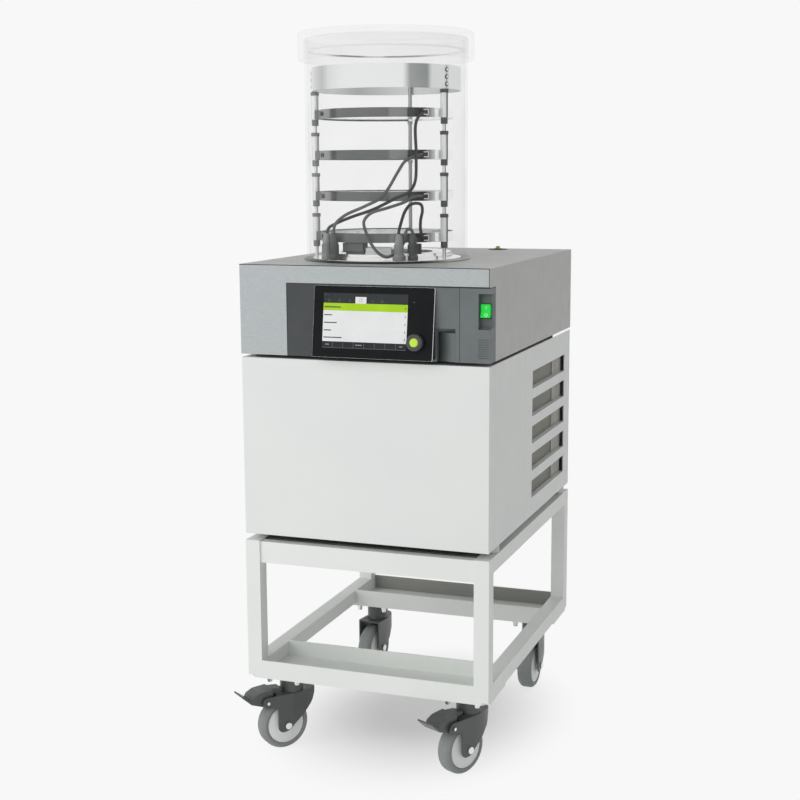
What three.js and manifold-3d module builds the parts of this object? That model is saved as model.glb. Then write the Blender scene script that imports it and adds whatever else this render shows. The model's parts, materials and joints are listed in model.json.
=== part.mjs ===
// Laboratory freeze dryer on a wheeled stand.
// Millimetres. +X is the machine's right, +Y runs from the front face to the back, +Z is up from the floor.
import * as THREE from 'three';
import { mergeVertices } from 'three/addons/utils/BufferGeometryUtils.js';
import Module from 'manifold-3d';

const wasm = await Module();
wasm.setup();

// ---- driving dimensions -------------------------------------------------------------------------
const seatGap = 0.3; // between faces that touch
const runGap = 0.1; // radial, between a shaft and its bore
const bodyWidth = 504;
const bodyDepth = 645;
const sheet = 2; // folded steel sheet

// casters
const wheelRadius = 53;
const tyreWidth = 33;
const tyreCorner = 6;
const hubRadius = 40;
const axleRadius = 4;
const axleHeadRadius = 7.5;
const trail = 22; // swivel axis to wheel centre
const casterHeight = 163;
const casterInsetX = 62; // swivel axis from the stand's side
const casterInsetY = 71; // swivel axis from the stand's end
const forkHalfWidth = 27;
const forkSheet = 3;
const forkBack = 52; // swivel axis to the back of the crown
const crownGap = 11; // tyre to crown
const legFront = 21.5; // wheel centre to the front edge of a fork leg
const plateLength = 104;
const plateWidth = 84;
const plateThickness = 4;
const boltSpacingX = 60;
const boltSpacingY = 80;
const raceRadius = 27;
const pedalPinReach = 44; // wheel centre to the brake pedal's pin
const pedalPinRadius = 3;
const pedalWidth = 40;
const pedalReach = 55; // pedal's pin to its tip
const pedalHeel = 37; // and to the shoe over the tyre
const pedalHeight = 24.5; // pin to the top of the shoe
const lugRadius = 11; // fork's lug round that pin
const swivelHeadRadius = 24;
const legFoot = 12; // wheel centre to the lower edge of a fork leg
const raceHeight = 8;
const casterTurns = { front_left: 230.8, front_right: 243.4, rear_right: 269, rear_left: 261.7 };

// stand
const tube = 30; // square tube of posts and side rails
const standTop = 448;
const rimDrop = 2; // end rails below the posts' tops
const webThickness = 5; // trough floor that carries the casters
const troughWall = 3;
const troughHeight = 37;
const troughWidth = 134;
const endRailHeight = 43;
const endRailDepth = 20;
const endRailSetback = 4;
const webCorner = 14; // clipped corner of the trough floor

// cabinet
const cabinetInset = 1; // cabinet's sides behind the head's and the stand's
const footHeight = 14; // stand to cabinet
const cabinetHeight = 353;
const plinthHeight = 6.3; // cabinet to head
const frontPanelReturn = 38; // depth of the front panel's folded sides
const sideSeam = 260; // joint between the plain and the vented side panel
const footRadius = 16;
const ventCount = 5;
const rearSlotCount = 5;
const rearSlotWidth = 210;
const rearSlotHeight = 10;
const rearSlotPitch = 22;
const rearSlotInset = 101; // slots' ends from the left side
const rearSlotLift = 90; // lowest slot from the cabinet's bottom
const inletWidth = 48; // opening for the power inlet
const inletHeight = 28;
const inletInset = 53; // from the right side
const inletLift = 60;
const ventHeight = 36.3;
const ventPitch = 57.2;
const ventLength = 281;
const ventInsetBack = 48; // slots' ends from the back
const ventInsetTop = 50.2; // highest slot from the cabinet's top

// head
const headHeight = 174.2;
const fasciaThickness = 3;
const fasciaLeftWidth = 99.5;
const fasciaStripHeight = 35;
const consoleDepth = 16;
const consoleWrap = 36.5; // depth of the console's return on the right side
const scoopWidth = 36.5; // finger scoop beside the display
const seamInset = 58.8; // console's joint from the right side
const portInsetX = 151; // service port from the right side
const portInsetY = 45; // and from the back

// display on the console
const displayInset = 104; // display's right edge from the right side
const displayWidth = 240;
const displayHeight = 135;
const displayTilt = 8.1; // degrees
const displayTopStandoff = 5;
const displayLift = 3.5; // console's bottom edge to the display's bottom edge
const glassThickness = 2.5;
const knobRadius = 16;
const knobHeight = 13;
const knobInset = 33; // from the display's right edge and from its bottom edge
const capRadius = 8.5;
const knobFacets = 20;
const capTravel = 1.2;

// power switch
const rockerWidth = 19;
const rockerHeight = 27;
const rockerDrop = 78.5; // head's top to the rocker's middle
const rockerPivotY = 12;
const rockerEdge = 1.8; // recess wall to the rocker
const switchRecessWidth = 22.5;
const switchRecessDepth = 11;
const switchRecessDrop = 46.5; // head's top to the recess
const switchRecessHeight = 65.5;

// chamber, on the head
const chamberX = -30;
const chamberY = 224;
const tubeRadius = 162;
const tubeWall = 5;
const tubeFlange = 4; // how far the foot flange stands out
const tubeFlangeHeight = 6;
const sealHeight = 3.2;
const sealOverlap = 11; // seal inside the tube's outer face
const lidOverhang = 13; // lid's edge beyond the tube
const lidClearance = 1.5; // radial, skirt to tube
const lidThickness = 12;
const lidSkirt = 55;
const lidHeadroom = 56.5; // rack's ring to the lid
const trapRadius = 110;
const trapDepth = 235;
const trapFacets = 24;

// rack in the chamber
const ringClearance = 8.4; // ring to the tube's inner face
const postInset = 6.3; // post's axis inside the ring's outer face
const shelfInset = 8.3; // shelf's rim inside the posts' axes
const shelfCount = 4;
const shelfPitch = 79.5;
const lowestShelfRim = 52; // chamber floor to the top edge of the lowest shelf's rim
const rimHeight = 18;
const rimThickness = 1.6;
const shelfPlate = 3;
const shelfFacets = 26;
const postAngle = 72; // left and right of the front
const rodRadius = 3.5;
const sleeveRadius = 7.5;
const collarRadius = 8.6;
const tallCollar = 12;
const shortCollar = 7;
const sleeveLength = 47;
const ringHeight = 45;
const ringSheet = 1.2;
const plateClearance = 7.5; // base plate to the tube's inner face
const basePlateLevel = 4.5; // floor of the chamber above the head
const baseStep = 11;
const socketLength = 42; // shelf's socket for its lead
const socketBearing = 47.5;
const connectorBearing = 53.6;

// plugs and leads
const plugInset = 4.5; // plug's axis inside the base plate's edge
const plugHeight = 57;
const plugRadius = 9.6;
const plugAngles = [-38, -27.5, 28.5, 39.5];
const leadDiameter = 6;

// refrigeration and cooling inside the cabinet
const finPitch = 23;
const finThickness = 1.6;
const coreDepth = 26;
const coreClearance = 14; // vented panel to the condenser
const compressorRadius = 98;
const compressorHeight = 194;
const weldDrop = 112; // compressor's top to its weld
const terminalDrop = 76; // and to its terminal box
const compressorFootSpanX = 148;
const compressorFootSpanY = 124;
const compressorInsetX = 156; // compressor's axis from the cabinet's left side
const compressorInsetBack = 175; // and from the back
const fanRadius = 105;
const fanBlades = 5;
const fanShaftRadius = 4;

// ---- what follows from them -----------------------------------------------------------------------
const standHalf = bodyWidth / 2;
const headHalf = bodyWidth / 2;
const cabinetHalf = bodyWidth / 2 - cabinetInset;
const cabinetBottom = standTop + footHeight;
const cabinetTop = cabinetBottom + cabinetHeight;
const headBottom = cabinetTop + plinthHeight;
const headTop = headBottom + headHeight;
const tubeInner = tubeRadius - tubeWall;
const plateRadius = tubeInner - plateClearance;
const ringRadius = tubeInner - ringClearance;
const postCircle = ringRadius - postInset;
const shelfRadius = postCircle - shelfInset;
const plugCircle = plateRadius - plugInset;

// ---- solids -------------------------------------------------------------------------------------
function solid(geometry) {
  const bare = geometry.clone();
  bare.deleteAttribute('normal');
  bare.deleteAttribute('uv');
  const merged = mergeVertices(bare, 1e-4);
  const kept = [];
  const index = merged.index.array;
  for (let i = 0; i < index.length; i += 3) {
    const [a, b, c] = [index[i], index[i + 1], index[i + 2]];
    if (a !== b && b !== c && c !== a) {
      kept.push(a, b, c);
    }
  }
  const vertProperties = merged.attributes.position.array;
  return new wasm.Manifold(new wasm.Mesh({ numProp: 3, vertProperties, triVerts: new Uint32Array(kept) }));
}

function mesh(name, shape, colour, roughness, metalness, extra = {}) {
  const data = shape.getMesh();
  const geometry = new THREE.BufferGeometry();
  geometry.setAttribute('position', new THREE.BufferAttribute(data.vertProperties, 3));
  geometry.setIndex(new THREE.BufferAttribute(data.triVerts, 1));
  geometry.computeVertexNormals();
  const material = new THREE.MeshStandardMaterial({ color: colour, roughness, metalness, ...extra });
  const result = new THREE.Mesh(geometry, material);
  result.name = name;
  return result;
}

// corner radius of a faceted bore whose flats clear a shaft
function bore(shaftRadius, facets) {
  return (shaftRadius + runGap) / Math.cos(Math.PI / facets);
}

function join(...shapes) {
  return shapes.reduce((a, b) => a.add(b));
}

function cut(shape, ...tools) {
  return tools.reduce((a, b) => a.subtract(b), shape);
}

function box(x0, x1, y0, y1, z0, z1) {
  const geometry = new THREE.BoxGeometry(x1 - x0, y1 - y0, z1 - z0);
  geometry.translate((x0 + x1) / 2, (y0 + y1) / 2, (z0 + z1) / 2);
  return solid(geometry);
}

// profile: [radius, z] points, anticlockwise, from axis to axis or closed on itself
function turned(profile, segments, x = 0, y = 0) {
  const points = profile.map(([r, z]) => new THREE.Vector2(r, z));
  const geometry = new THREE.LatheGeometry(points, segments);
  geometry.rotateX(Math.PI / 2);
  geometry.rotateZ(Math.PI / segments);
  geometry.translate(x, y, 0);
  return solid(geometry);
}

function disc(radius, z0, z1, segments, x = 0, y = 0) {
  return turned([[0, z0], [radius, z0], [radius, z1], [0, z1]], segments, x, y);
}

function ring(inner, outer, z0, z1, segments, x = 0, y = 0) {
  return turned([[inner, z0], [outer, z0], [outer, z1], [inner, z1], [inner, z0]], segments, x, y);
}

// the same about an axis along X through (y, z): profile [radius, x] points
function turnedX(profile, segments, x, y, z) {
  const geometry = new THREE.LatheGeometry(profile.map(([r, a]) => new THREE.Vector2(r, a)), segments);
  geometry.rotateZ(-Math.PI / 2);
  geometry.translate(x, y, z);
  return solid(geometry);
}

function discX(radius, x0, x1, segments, x, y, z) {
  return turnedX([[0, x0], [radius, x0], [radius, x1], [0, x1]], segments, x, y, z);
}

// a rod along Y between y0 and y1
function crossRod(radius, x, y0, y1, z, segments = 10) {
  const geometry = new THREE.CylinderGeometry(radius, radius, y1 - y0, segments);
  geometry.translate(x, (y0 + y1) / 2, z);
  return solid(geometry);
}

// a shape drawn in X and Z, extruded along Y from y0 to y1
function acrossY(shape, y0, y1, curveSegments = 8) {
  const geometry = new THREE.ExtrudeGeometry(shape, { depth: y1 - y0, bevelEnabled: false, curveSegments });
  geometry.rotateX(Math.PI / 2);
  geometry.translate(0, y1, 0);
  return solid(geometry);
}

// a shape drawn in Y and Z, extruded along X from x0 to x1
function acrossX(shape, x0, x1, curveSegments = 8) {
  const geometry = new THREE.ExtrudeGeometry(shape, { depth: x1 - x0, bevelEnabled: false, curveSegments });
  geometry.rotateY(Math.PI / 2);
  geometry.rotateX(Math.PI / 2);
  geometry.translate(x0, 0, 0);
  return solid(geometry);
}

// a shape drawn in X and Y, extruded upwards from z0 to z1
function upright(shape, z0, z1, curveSegments = 8) {
  const geometry = new THREE.ExtrudeGeometry(shape, { depth: z1 - z0, bevelEnabled: false, curveSegments });
  geometry.translate(0, 0, z0);
  return solid(geometry);
}

function outline(points) {
  return new THREE.Shape(points.map(([a, b]) => new THREE.Vector2(a, b)));
}

function roundedRectangle(x0, x1, y0, y1, r) {
  const shape = new THREE.Shape();
  shape.moveTo(x0 + r, y0);
  shape.lineTo(x1 - r, y0);
  shape.absarc(x1 - r, y0 + r, r, -Math.PI / 2, 0);
  shape.lineTo(x1, y1 - r);
  shape.absarc(x1 - r, y1 - r, r, 0, Math.PI / 2);
  shape.lineTo(x0 + r, y1);
  shape.absarc(x0 + r, y1 - r, r, Math.PI / 2, Math.PI);
  shape.lineTo(x0, y0 + r);
  shape.absarc(x0 + r, y0 + r, r, Math.PI, Math.PI * 1.5);
  return shape;
}

const radians = THREE.MathUtils.degToRad;

// a point of the chamber at a bearing from the front, degrees towards the right
function aroundChamber(radius, bearing) {
  return [chamberX + radius * Math.sin(radians(bearing)), chamberY - radius * Math.cos(radians(bearing))];
}

// ---- casters: swivel axis on local Z, the wheel trails towards local +X --------------------------
const crownTop = 2 * wheelRadius + crownGap + forkSheet;
const pedalPinX = trail + pedalPinReach;
const pedalPinZ = crownTop - lugRadius;
const plateTop = casterHeight - seatGap;
const raceBottom = plateTop - plateThickness - raceHeight;

function casterPlate(x, y) {
  const under = plateTop - plateThickness;
  const [halfX, halfY] = [plateWidth / 2, plateLength / 2];
  const flat = upright(roundedRectangle(x - halfX, x + halfX, y - halfY, y + halfY, 6), under, plateTop, 2);
  const race = disc(raceRadius, raceBottom, under + 1, 14, x, y);
  const nuts = [-1, 1].flatMap((i) => [-1, 1].map((j) => turned([
    [0, under - 13], [5, under - 13], [7.5, under + 1], [0, under + 1],
  ], 6, x + i * boltSpacingX / 2, y + j * boltSpacingY / 2)));
  return join(flat, race, ...nuts);
}

// side view of the fork: leg, curved back and, on a braked fork, the pedal's lug
function forkSide(braked) {
  const [leg, foot] = [trail + legFront, wheelRadius - legFoot];
  const shape = new THREE.Shape();
  shape.moveTo(-forkBack - 1, crownTop);
  shape.bezierCurveTo(-forkBack + 4, foot + 50, -20, foot + 34, trail - legFoot, foot + 10);
  shape.quadraticCurveTo(trail - 4, foot, trail + 6, foot);
  shape.lineTo(leg - 8, foot);
  shape.quadraticCurveTo(leg, foot + 3, leg, wheelRadius);
  if (braked) {
    const under = pedalPinZ - lugRadius;
    shape.lineTo(leg, under - 9);
    shape.quadraticCurveTo(leg, under, pedalPinX, under);
    shape.absarc(pedalPinX, pedalPinZ, lugRadius, -Math.PI / 2, Math.PI / 2);
  } else {
    shape.lineTo(leg, crownTop);
  }
  return shape;
}

// plan view of the fork: flat cheeks that run into a rounded back
function forkPlan(halfWidth, back, front) {
  const shape = new THREE.Shape();
  shape.moveTo(front, -halfWidth);
  shape.lineTo(front, halfWidth);
  shape.lineTo(trail / 2, halfWidth);
  shape.absellipse(trail / 2, 0, back + trail / 2, halfWidth, Math.PI / 2, Math.PI * 1.5);
  return shape;
}

function casterFork(braked) {
  const front = (braked ? pedalPinX : trail) + 40;
  const inside = forkHalfWidth - forkSheet;
  const reach = forkHalfWidth + 1;
  const outer = upright(forkPlan(forkHalfWidth, forkBack, front), 0, crownTop, 4);
  const inner = upright(forkPlan(inside, forkBack - forkSheet, front + 1), -1, crownTop - forkSheet, 4);
  const side = acrossY(forkSide(braked), -reach, reach, 3);
  const lugRoom = box(trail + legFront, front + 2, -inside, inside, -1, crownTop + 1);
  const axleHole = crossRod(bore(axleRadius, 8), trail, -reach, reach, wheelRadius, 8);
  const head = disc(swivelHeadRadius, crownTop - 1, raceBottom - seatGap, 14);
  const pressed = cut(outer.intersect(side), inner, lugRoom, axleHole).add(head);
  if (!braked) {
    return pressed;
  }
  const pin = crossRod(pedalPinRadius, pedalPinX, -forkHalfWidth + 1, forkHalfWidth - 1, pedalPinZ);
  const pinHeads = [-1, 1].map((s) => {
    const face = s * (forkHalfWidth + 1);
    return crossRod(4.6, pedalPinX, face - 1.2, face + 1.2, pedalPinZ, 6);
  });
  return join(pressed, pin, ...pinHeads);
}

function brakePedal() {
  const [px, pz] = [pedalPinX, pedalPinZ];
  const [heel, tip, top] = [px - pedalHeel, px + pedalReach, pz + pedalHeight];
  const profile = outline([
    [heel, top - 8.5], [heel + 21, top - 12.5], [px - 12, pz - 4], [px - 8, pz - 9], [px + 5, pz - 9.5],
    [tip - 21, pz + 1], [tip, top - 4.5], [tip - 2, top - 2], [tip - 22, pz + 8], [tip - 26, pz + 15],
    [px + 15, top - 2.5], [px - 14, top], [heel, top - 2.5],
  ]);
  const half = pedalWidth / 2;
  const neck = 13;
  const pressed = acrossY(profile, -half, half);
  const hollow = box(px - 9, px + 26, -half + 3, half - 3, pz - 12, pz + 12);
  const pinBore = crossRod(bore(pedalPinRadius, 10), px, -half - 1, half + 1, pz);
  const sides = [[-half - 1, -neck], [neck, half + 1]].map(
    ([y0, y1]) => box(px - 40, px - 14, y0, y1, pz, pz + 30));
  return cut(pressed, hollow, pinBore, ...sides);
}

const wheelFacets = 18;

// tyre and hub turned about Y through the wheel centre
function aboutWheel(profile, segments) {
  const geometry = new THREE.LatheGeometry(profile.map(([r, y]) => new THREE.Vector2(r, y)), segments);
  geometry.rotateY(Math.PI / segments);
  geometry.translate(trail, 0, wheelRadius);
  return solid(geometry);
}

function casterTyre() {
  const half = tyreWidth / 2;
  const [inner, outer] = [hubRadius + seatGap, wheelRadius];
  return aboutWheel([
    [inner, -half + 0.5], [outer - tyreCorner, -half], [outer, -half + tyreCorner],
    [outer, half - tyreCorner], [outer - tyreCorner, half], [inner, half - 0.5], [inner, -half + 0.5],
  ], wheelFacets);
}

function casterHub() {
  const rim = tyreWidth / 2 - 1.4;
  const boss = forkHalfWidth - forkSheet - 0.6;
  const axleBore = bore(axleRadius, wheelFacets);
  return aboutWheel([
    [axleBore, -boss], [12.5, -boss], [hubRadius, -rim], [hubRadius, rim], [12.5, boss],
    [axleBore, boss], [axleBore, -boss],
  ], wheelFacets);
}

function casterAxle() {
  const face = forkHalfWidth + seatGap;
  const heads = [-1, 1].map((s) => {
    const middle = s * (face + 2);
    return crossRod(axleHeadRadius, trail, middle - 2, middle + 2, wheelRadius, 8);
  });
  return join(crossRod(axleRadius, trail, -face - 1, face + 1, wheelRadius, 8), ...heads);
}

function addCaster(machine, name, x, y, braked) {
  machine.add(mesh(`${name}_caster_plate`, casterPlate(x, y), 0xc9cccb, 0.35, 0.9));
  const group = new THREE.Group();
  group.position.set(x, y, 0);
  group.rotation.z = radians(casterTurns[name]);
  group.add(mesh(`${name}_caster_fork`, casterFork(braked), 0x545655, 0.5, 0.3));
  group.add(mesh(`${name}_caster_tyre`, casterTyre(), 0x848a8a, 0.7, 0));
  group.add(mesh(`${name}_caster_hub`, casterHub(), 0xdcdfdf, 0.4, 0));
  group.add(mesh(`${name}_caster_axle`, casterAxle(), 0xd8dadb, 0.3, 1));
  if (braked) {
    group.add(mesh(`${name}_brake_pedal`, brakePedal(), 0x5b5d5c, 0.5, 0.3));
  }
  machine.add(group);
}

// ---- stand --------------------------------------------------------------------------------------
const postBottom = casterHeight + webThickness;

function trough(y0, y1) {
  const floor = upright(outline([
    [-standHalf + webCorner, y0], [standHalf - webCorner, y0], [standHalf, y0 + webCorner],
    [standHalf, y1 - webCorner], [standHalf - webCorner, y1], [-standHalf + webCorner, y1],
    [-standHalf, y1 - webCorner], [-standHalf, y0 + webCorner],
  ]), casterHeight, postBottom);
  const inside = standHalf - tube + 1;
  const top = casterHeight + troughHeight;
  const nearWall = box(-inside, inside, y0, y0 + troughWall, casterHeight, top);
  const farWall = box(-inside, inside, y1 - troughWall, y1, casterHeight, top);
  return join(floor, nearWall, farWall);
}

function standFrame() {
  const inner = standHalf - tube;
  const posts = [-standHalf, inner].flatMap((x) => [0, bodyDepth - tube].map(
    (y) => box(x, x + tube, y, y + tube, postBottom, standTop)));
  const sideRails = [-standHalf, inner].flatMap((x) => [postBottom, standTop - tube].map(
    (z) => box(x, x + tube, tube - 1, bodyDepth - tube + 1, z, z + tube)));
  const railTop = standTop - rimDrop;
  const endRails = [endRailSetback, bodyDepth - endRailSetback - endRailDepth].map(
    (y) => box(-inner - 1, inner + 1, y, y + endRailDepth, railTop - endRailHeight, railTop));
  const troughs = [trough(0, troughWidth), trough(bodyDepth - troughWidth, bodyDepth)];
  return join(...posts, ...sideRails, ...endRails, ...troughs);
}

// ---- cabinet ------------------------------------------------------------------------------------
const ventEnd = bodyDepth - ventInsetBack;
const ventStart = ventEnd - ventLength;
const topVentTop = cabinetTop - ventInsetTop;

function frontPanel() {
  const [half, low, high] = [cabinetHalf - sheet, cabinetBottom + sheet, cabinetTop - sheet];
  const shell = box(-cabinetHalf, cabinetHalf, 0, frontPanelReturn, cabinetBottom, cabinetTop);
  return shell.subtract(box(-half, half, sheet, frontPanelReturn + 1, low, high));
}

function sidePanel(side, y0, y1) {
  const [x0, x1] = side > 0 ? [cabinetHalf - sheet, cabinetHalf] : [-cabinetHalf, -cabinetHalf + sheet];
  const face = box(x0, x1, y0, y1, cabinetBottom, cabinetTop);
  const inward = side > 0 ? [x0 - 12, x0 + 1] : [x1 - 1, x1 + 12];
  const hems = [y0, y1 - sheet].map((y) => box(...inward, y, y + sheet, cabinetBottom + 20, cabinetTop - 20));
  return join(face, ...hems);
}

function ventPanel() {
  const slots = Array.from({ length: ventCount }, (_, i) => {
    const top = topVentTop - i * ventPitch;
    return box(cabinetHalf - sheet - 1, cabinetHalf + 1, ventStart, ventEnd, top - ventHeight, top);
  });
  return cut(sidePanel(1, sideSeam + seatGap, bodyDepth - sheet - seatGap), ...slots);
}

const plinthInset = 12;

function cabinetFoot(x, y) {
  const shoulder = cabinetBottom - seatGap;
  const neck = footRadius - 4;
  return turned([
    [0, standTop + seatGap], [footRadius, standTop + seatGap], [footRadius, shoulder],
    [neck, shoulder], [neck, cabinetBottom + 1], [0, cabinetBottom + 1],
  ], 8, x, y);
}

function chassis() {
  const inner = cabinetHalf - sheet - seatGap;
  const front = frontPanelReturn + seatGap;
  const back = bodyDepth - sheet;
  const floor = box(-inner, inner, front, bodyDepth, cabinetBottom, cabinetBottom + sheet);
  const rear = box(-cabinetHalf, cabinetHalf, back, bodyDepth, cabinetBottom, cabinetTop);
  const roof = box(-inner, inner, front, bodyDepth, cabinetTop - sheet, cabinetTop);
  const [half, plinthTop] = [cabinetHalf - plinthInset, headBottom - seatGap];
  const plinth = box(-half, half, front, bodyDepth - plinthInset, cabinetTop - sheet, plinthTop);
  const plinthRoom = box(-half + sheet, half - sheet, front + sheet, bodyDepth - plinthInset - sheet,
    cabinetTop - sheet - 1, plinthTop - sheet);
  const feet = [-1, 1].flatMap((i) => [frontPanelReturn + 30, bodyDepth - 45].map(
    (y) => cabinetFoot(i * (cabinetHalf - tube / 2), y)));
  const trapHole = disc(trapRadius + 8, cabinetTop - 10, headBottom + 1, trapFacets, chamberX, chamberY);
  const slotLeft = -cabinetHalf + rearSlotInset;
  const rearSlots = Array.from({ length: rearSlotCount }, (_, i) => {
    const low = cabinetBottom + rearSlotLift + i * rearSlotPitch;
    return box(slotLeft, slotLeft + rearSlotWidth, back - 1, bodyDepth + 1, low, low + rearSlotHeight);
  });
  const [inletRight, inletLow] = [cabinetHalf - inletInset, cabinetBottom + inletLift];
  const inlet = box(inletRight - inletWidth, inletRight, back - 1, bodyDepth + 1, inletLow,
    inletLow + inletHeight);
  return cut(join(floor, rear, roof, plinth, ...feet), plinthRoom, trapHole, ...rearSlots, inlet);
}

// ---- refrigeration ------------------------------------------------------------------------------
const coreOuterX = cabinetHalf - sheet - coreClearance;
const coreBottom = topVentTop - (ventCount - 1) * ventPitch - ventHeight - 20;
const coreTop = topVentTop + 15;
const fanX = coreOuterX - coreDepth - 24;
const fanY = (ventStart + ventEnd) / 2;
const fanZ = (coreBottom + coreTop) / 2;

function condenserCore() {
  const [y0, y1] = [ventStart - 12, ventEnd + 12];
  const [wall, floorTop] = [coreOuterX - coreDepth, cabinetBottom + sheet + seatGap];
  const finCount = Math.floor((y1 - y0 - finThickness) / finPitch) + 1;
  const comb = [[wall - 3, y1], [wall - 3, y0]];
  for (let i = 0; i < finCount; i += 1) {
    const y = y0 + i * finPitch;
    comb.push([wall, y], [coreOuterX, y], [coreOuterX, y + finThickness], [wall, y + finThickness]);
  }
  comb.push([wall, y1]);
  const fins = upright(outline(comb), coreBottom, coreTop);
  const endPlates = [y0 - 1.5, y1 - 1].map((y) => box(wall - 1, coreOuterX, y, y + sheet, floorTop, coreTop));
  const sill = box(wall - 60, coreOuterX, fanY - 14, fanY + 14, floorTop, floorTop + 3);
  const rail = box(wall - 1, coreOuterX, y0 - 1, y1, floorTop, floorTop + 3);
  const mouth = discX(fanRadius + 6, -30, 0, 16, wall, fanY, fanZ);
  return join(fins.subtract(mouth), ...endPlates, sill, rail, fanMount(wall, floorTop));
}

// ring around the fan, and the motor on its bracket behind the blades
function fanMount(wall, floorTop) {
  const at = [wall, fanY, fanZ];
  const [lipIn, lipOut] = [fanRadius + 5, fanRadius + 8];
  const lip = turnedX([[lipIn, -30], [lipOut, -30], [lipOut, 0], [lipIn, 0], [lipIn, -30]], 16, ...at);
  const bracket = box(wall - 60, wall - 56, fanY - 14, fanY + 14, floorTop, fanZ + 30);
  const motor = discX(30, -59, -39, 12, ...at);
  const shaft = discX(fanShaftRadius, -40, -8, 10, ...at);
  return join(lip, bracket, motor, shaft);
}

function fanBlade(turn) {
  const blade = new THREE.Shape();
  blade.moveTo(-16, 18);
  blade.quadraticCurveTo(-34, 62, -26, fanRadius - 12);
  blade.quadraticCurveTo(6, fanRadius, 34, fanRadius - 18);
  blade.quadraticCurveTo(14, 60, 14, 18);
  const geometry = new THREE.ExtrudeGeometry(blade, { depth: 2.4, bevelEnabled: false, curveSegments: 2 });
  geometry.translate(0, 0, -1.2);
  geometry.rotateY(Math.PI / 2 + radians(22));
  geometry.rotateX(Math.PI / 2 + turn);
  geometry.translate(fanX, fanY, fanZ);
  return solid(geometry);
}

function fanRotor() {
  const inner = bore(fanShaftRadius, 10);
  const hub = turnedX([[inner, -9], [26, -9], [26, 9], [inner, 9], [inner, -9]], 10, fanX, fanY, fanZ);
  const blades = Array.from({ length: fanBlades }, (_, i) => fanBlade(i * 2 * Math.PI / fanBlades));
  return join(hub, ...blades);
}

function compressor() {
  const [x, y] = [-cabinetHalf + compressorInsetX, bodyDepth - compressorInsetBack];
  const base = cabinetBottom + sheet + seatGap;
  const [r, top] = [compressorRadius, base + compressorHeight];
  const [weldLow, weldHigh] = [top - weldDrop - 4, top - weldDrop + 4];
  const shell = turned([
    [0, base + 18], [r - 24, base + 18], [r, base + 40], [r, weldLow], [r + 5, weldLow],
    [r + 5, weldHigh], [r - 1, weldHigh], [r - 3, top - 44], [r - 28, top - 4], [0, top],
  ], 14, x, y);
  const [halfX, halfY] = [compressorFootSpanX / 2, compressorFootSpanY / 2];
  const feet = [-halfY, halfY].map(
    (dy) => box(x - halfX - 14, x + halfX + 14, y + dy - 14, y + dy + 14, base + 14, base + 19));
  const rubbers = [-halfX, halfX].flatMap(
    (dx) => [-halfY, halfY].map((dy) => disc(10, base, base + 15, 6, x + dx, y + dy)));
  const boxMiddle = top - terminalDrop;
  const terminals = box(x + r - 10, x + r + 14, y - 26, y + 26, boxMiddle - 22, boxMiddle + 22);
  const pipe = disc(5, top - 14, top + 20, 6, x - 26, y + 18);
  return join(shell, ...feet, ...rubbers, terminals, pipe);
}

// ---- head ---------------------------------------------------------------------------------------
const consoleLeft = -headHalf + fasciaLeftWidth + seatGap;
const consoleTop = headTop - fasciaStripHeight - seatGap;
const displayRight = headHalf - displayInset;
const displayLeft = displayRight - displayWidth;
const portX = headHalf - portInsetX;
const portY = bodyDepth - portInsetY;
const rockerX = headHalf - switchRecessWidth + rockerEdge; // rocker's left side
const rockerCentreZ = headTop - rockerDrop;
const switchRecessTop = headTop - switchRecessDrop;
const switchRecessBottom = switchRecessTop - switchRecessHeight;

function fascia() {
  const [stripBottom, edge] = [headTop - fasciaStripHeight, -headHalf + fasciaLeftWidth];
  return acrossY(outline([
    [-headHalf, headBottom], [edge, headBottom], [edge, stripBottom], [headHalf, stripBottom],
    [headHalf, headTop], [-headHalf, headTop],
  ]), 0, fasciaThickness);
}

function hood() {
  const front = fasciaThickness + seatGap;
  const inside = headHalf - sheet;
  const shell = box(-headHalf, headHalf, front, bodyDepth, headBottom, headTop);
  const room = box(-inside, inside, front - 1, bodyDepth - sheet, headBottom - 1, headTop - sheet);
  const flange = cut(
    box(-headHalf + 1, headHalf - 1, front, bodyDepth - 1, headBottom, headBottom + sheet),
    box(-headHalf + 30, headHalf - 30, front - 1, bodyDepth - 30, headBottom - 1, headBottom + sheet + 1));
  const [low, high] = [headBottom - 1, consoleTop + seatGap];
  const slabRoom = box(consoleLeft - seatGap, headHalf + 1, front - 1, consoleDepth + seatGap, low, high);
  const wrapRoom = box(headHalf - 22, headHalf + 1, front - 1, consoleWrap + seatGap, low, high);
  const mouth = disc(trapRadius + 8, headTop - 10, headTop + 1, trapFacets, chamberX, chamberY);
  const portHole = disc(8.5, headTop - 10, headTop + 1, 12, portX, portY);
  return cut(shell.subtract(room).add(flange), slabRoom, wrapRoom, mouth, portHole);
}

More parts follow.
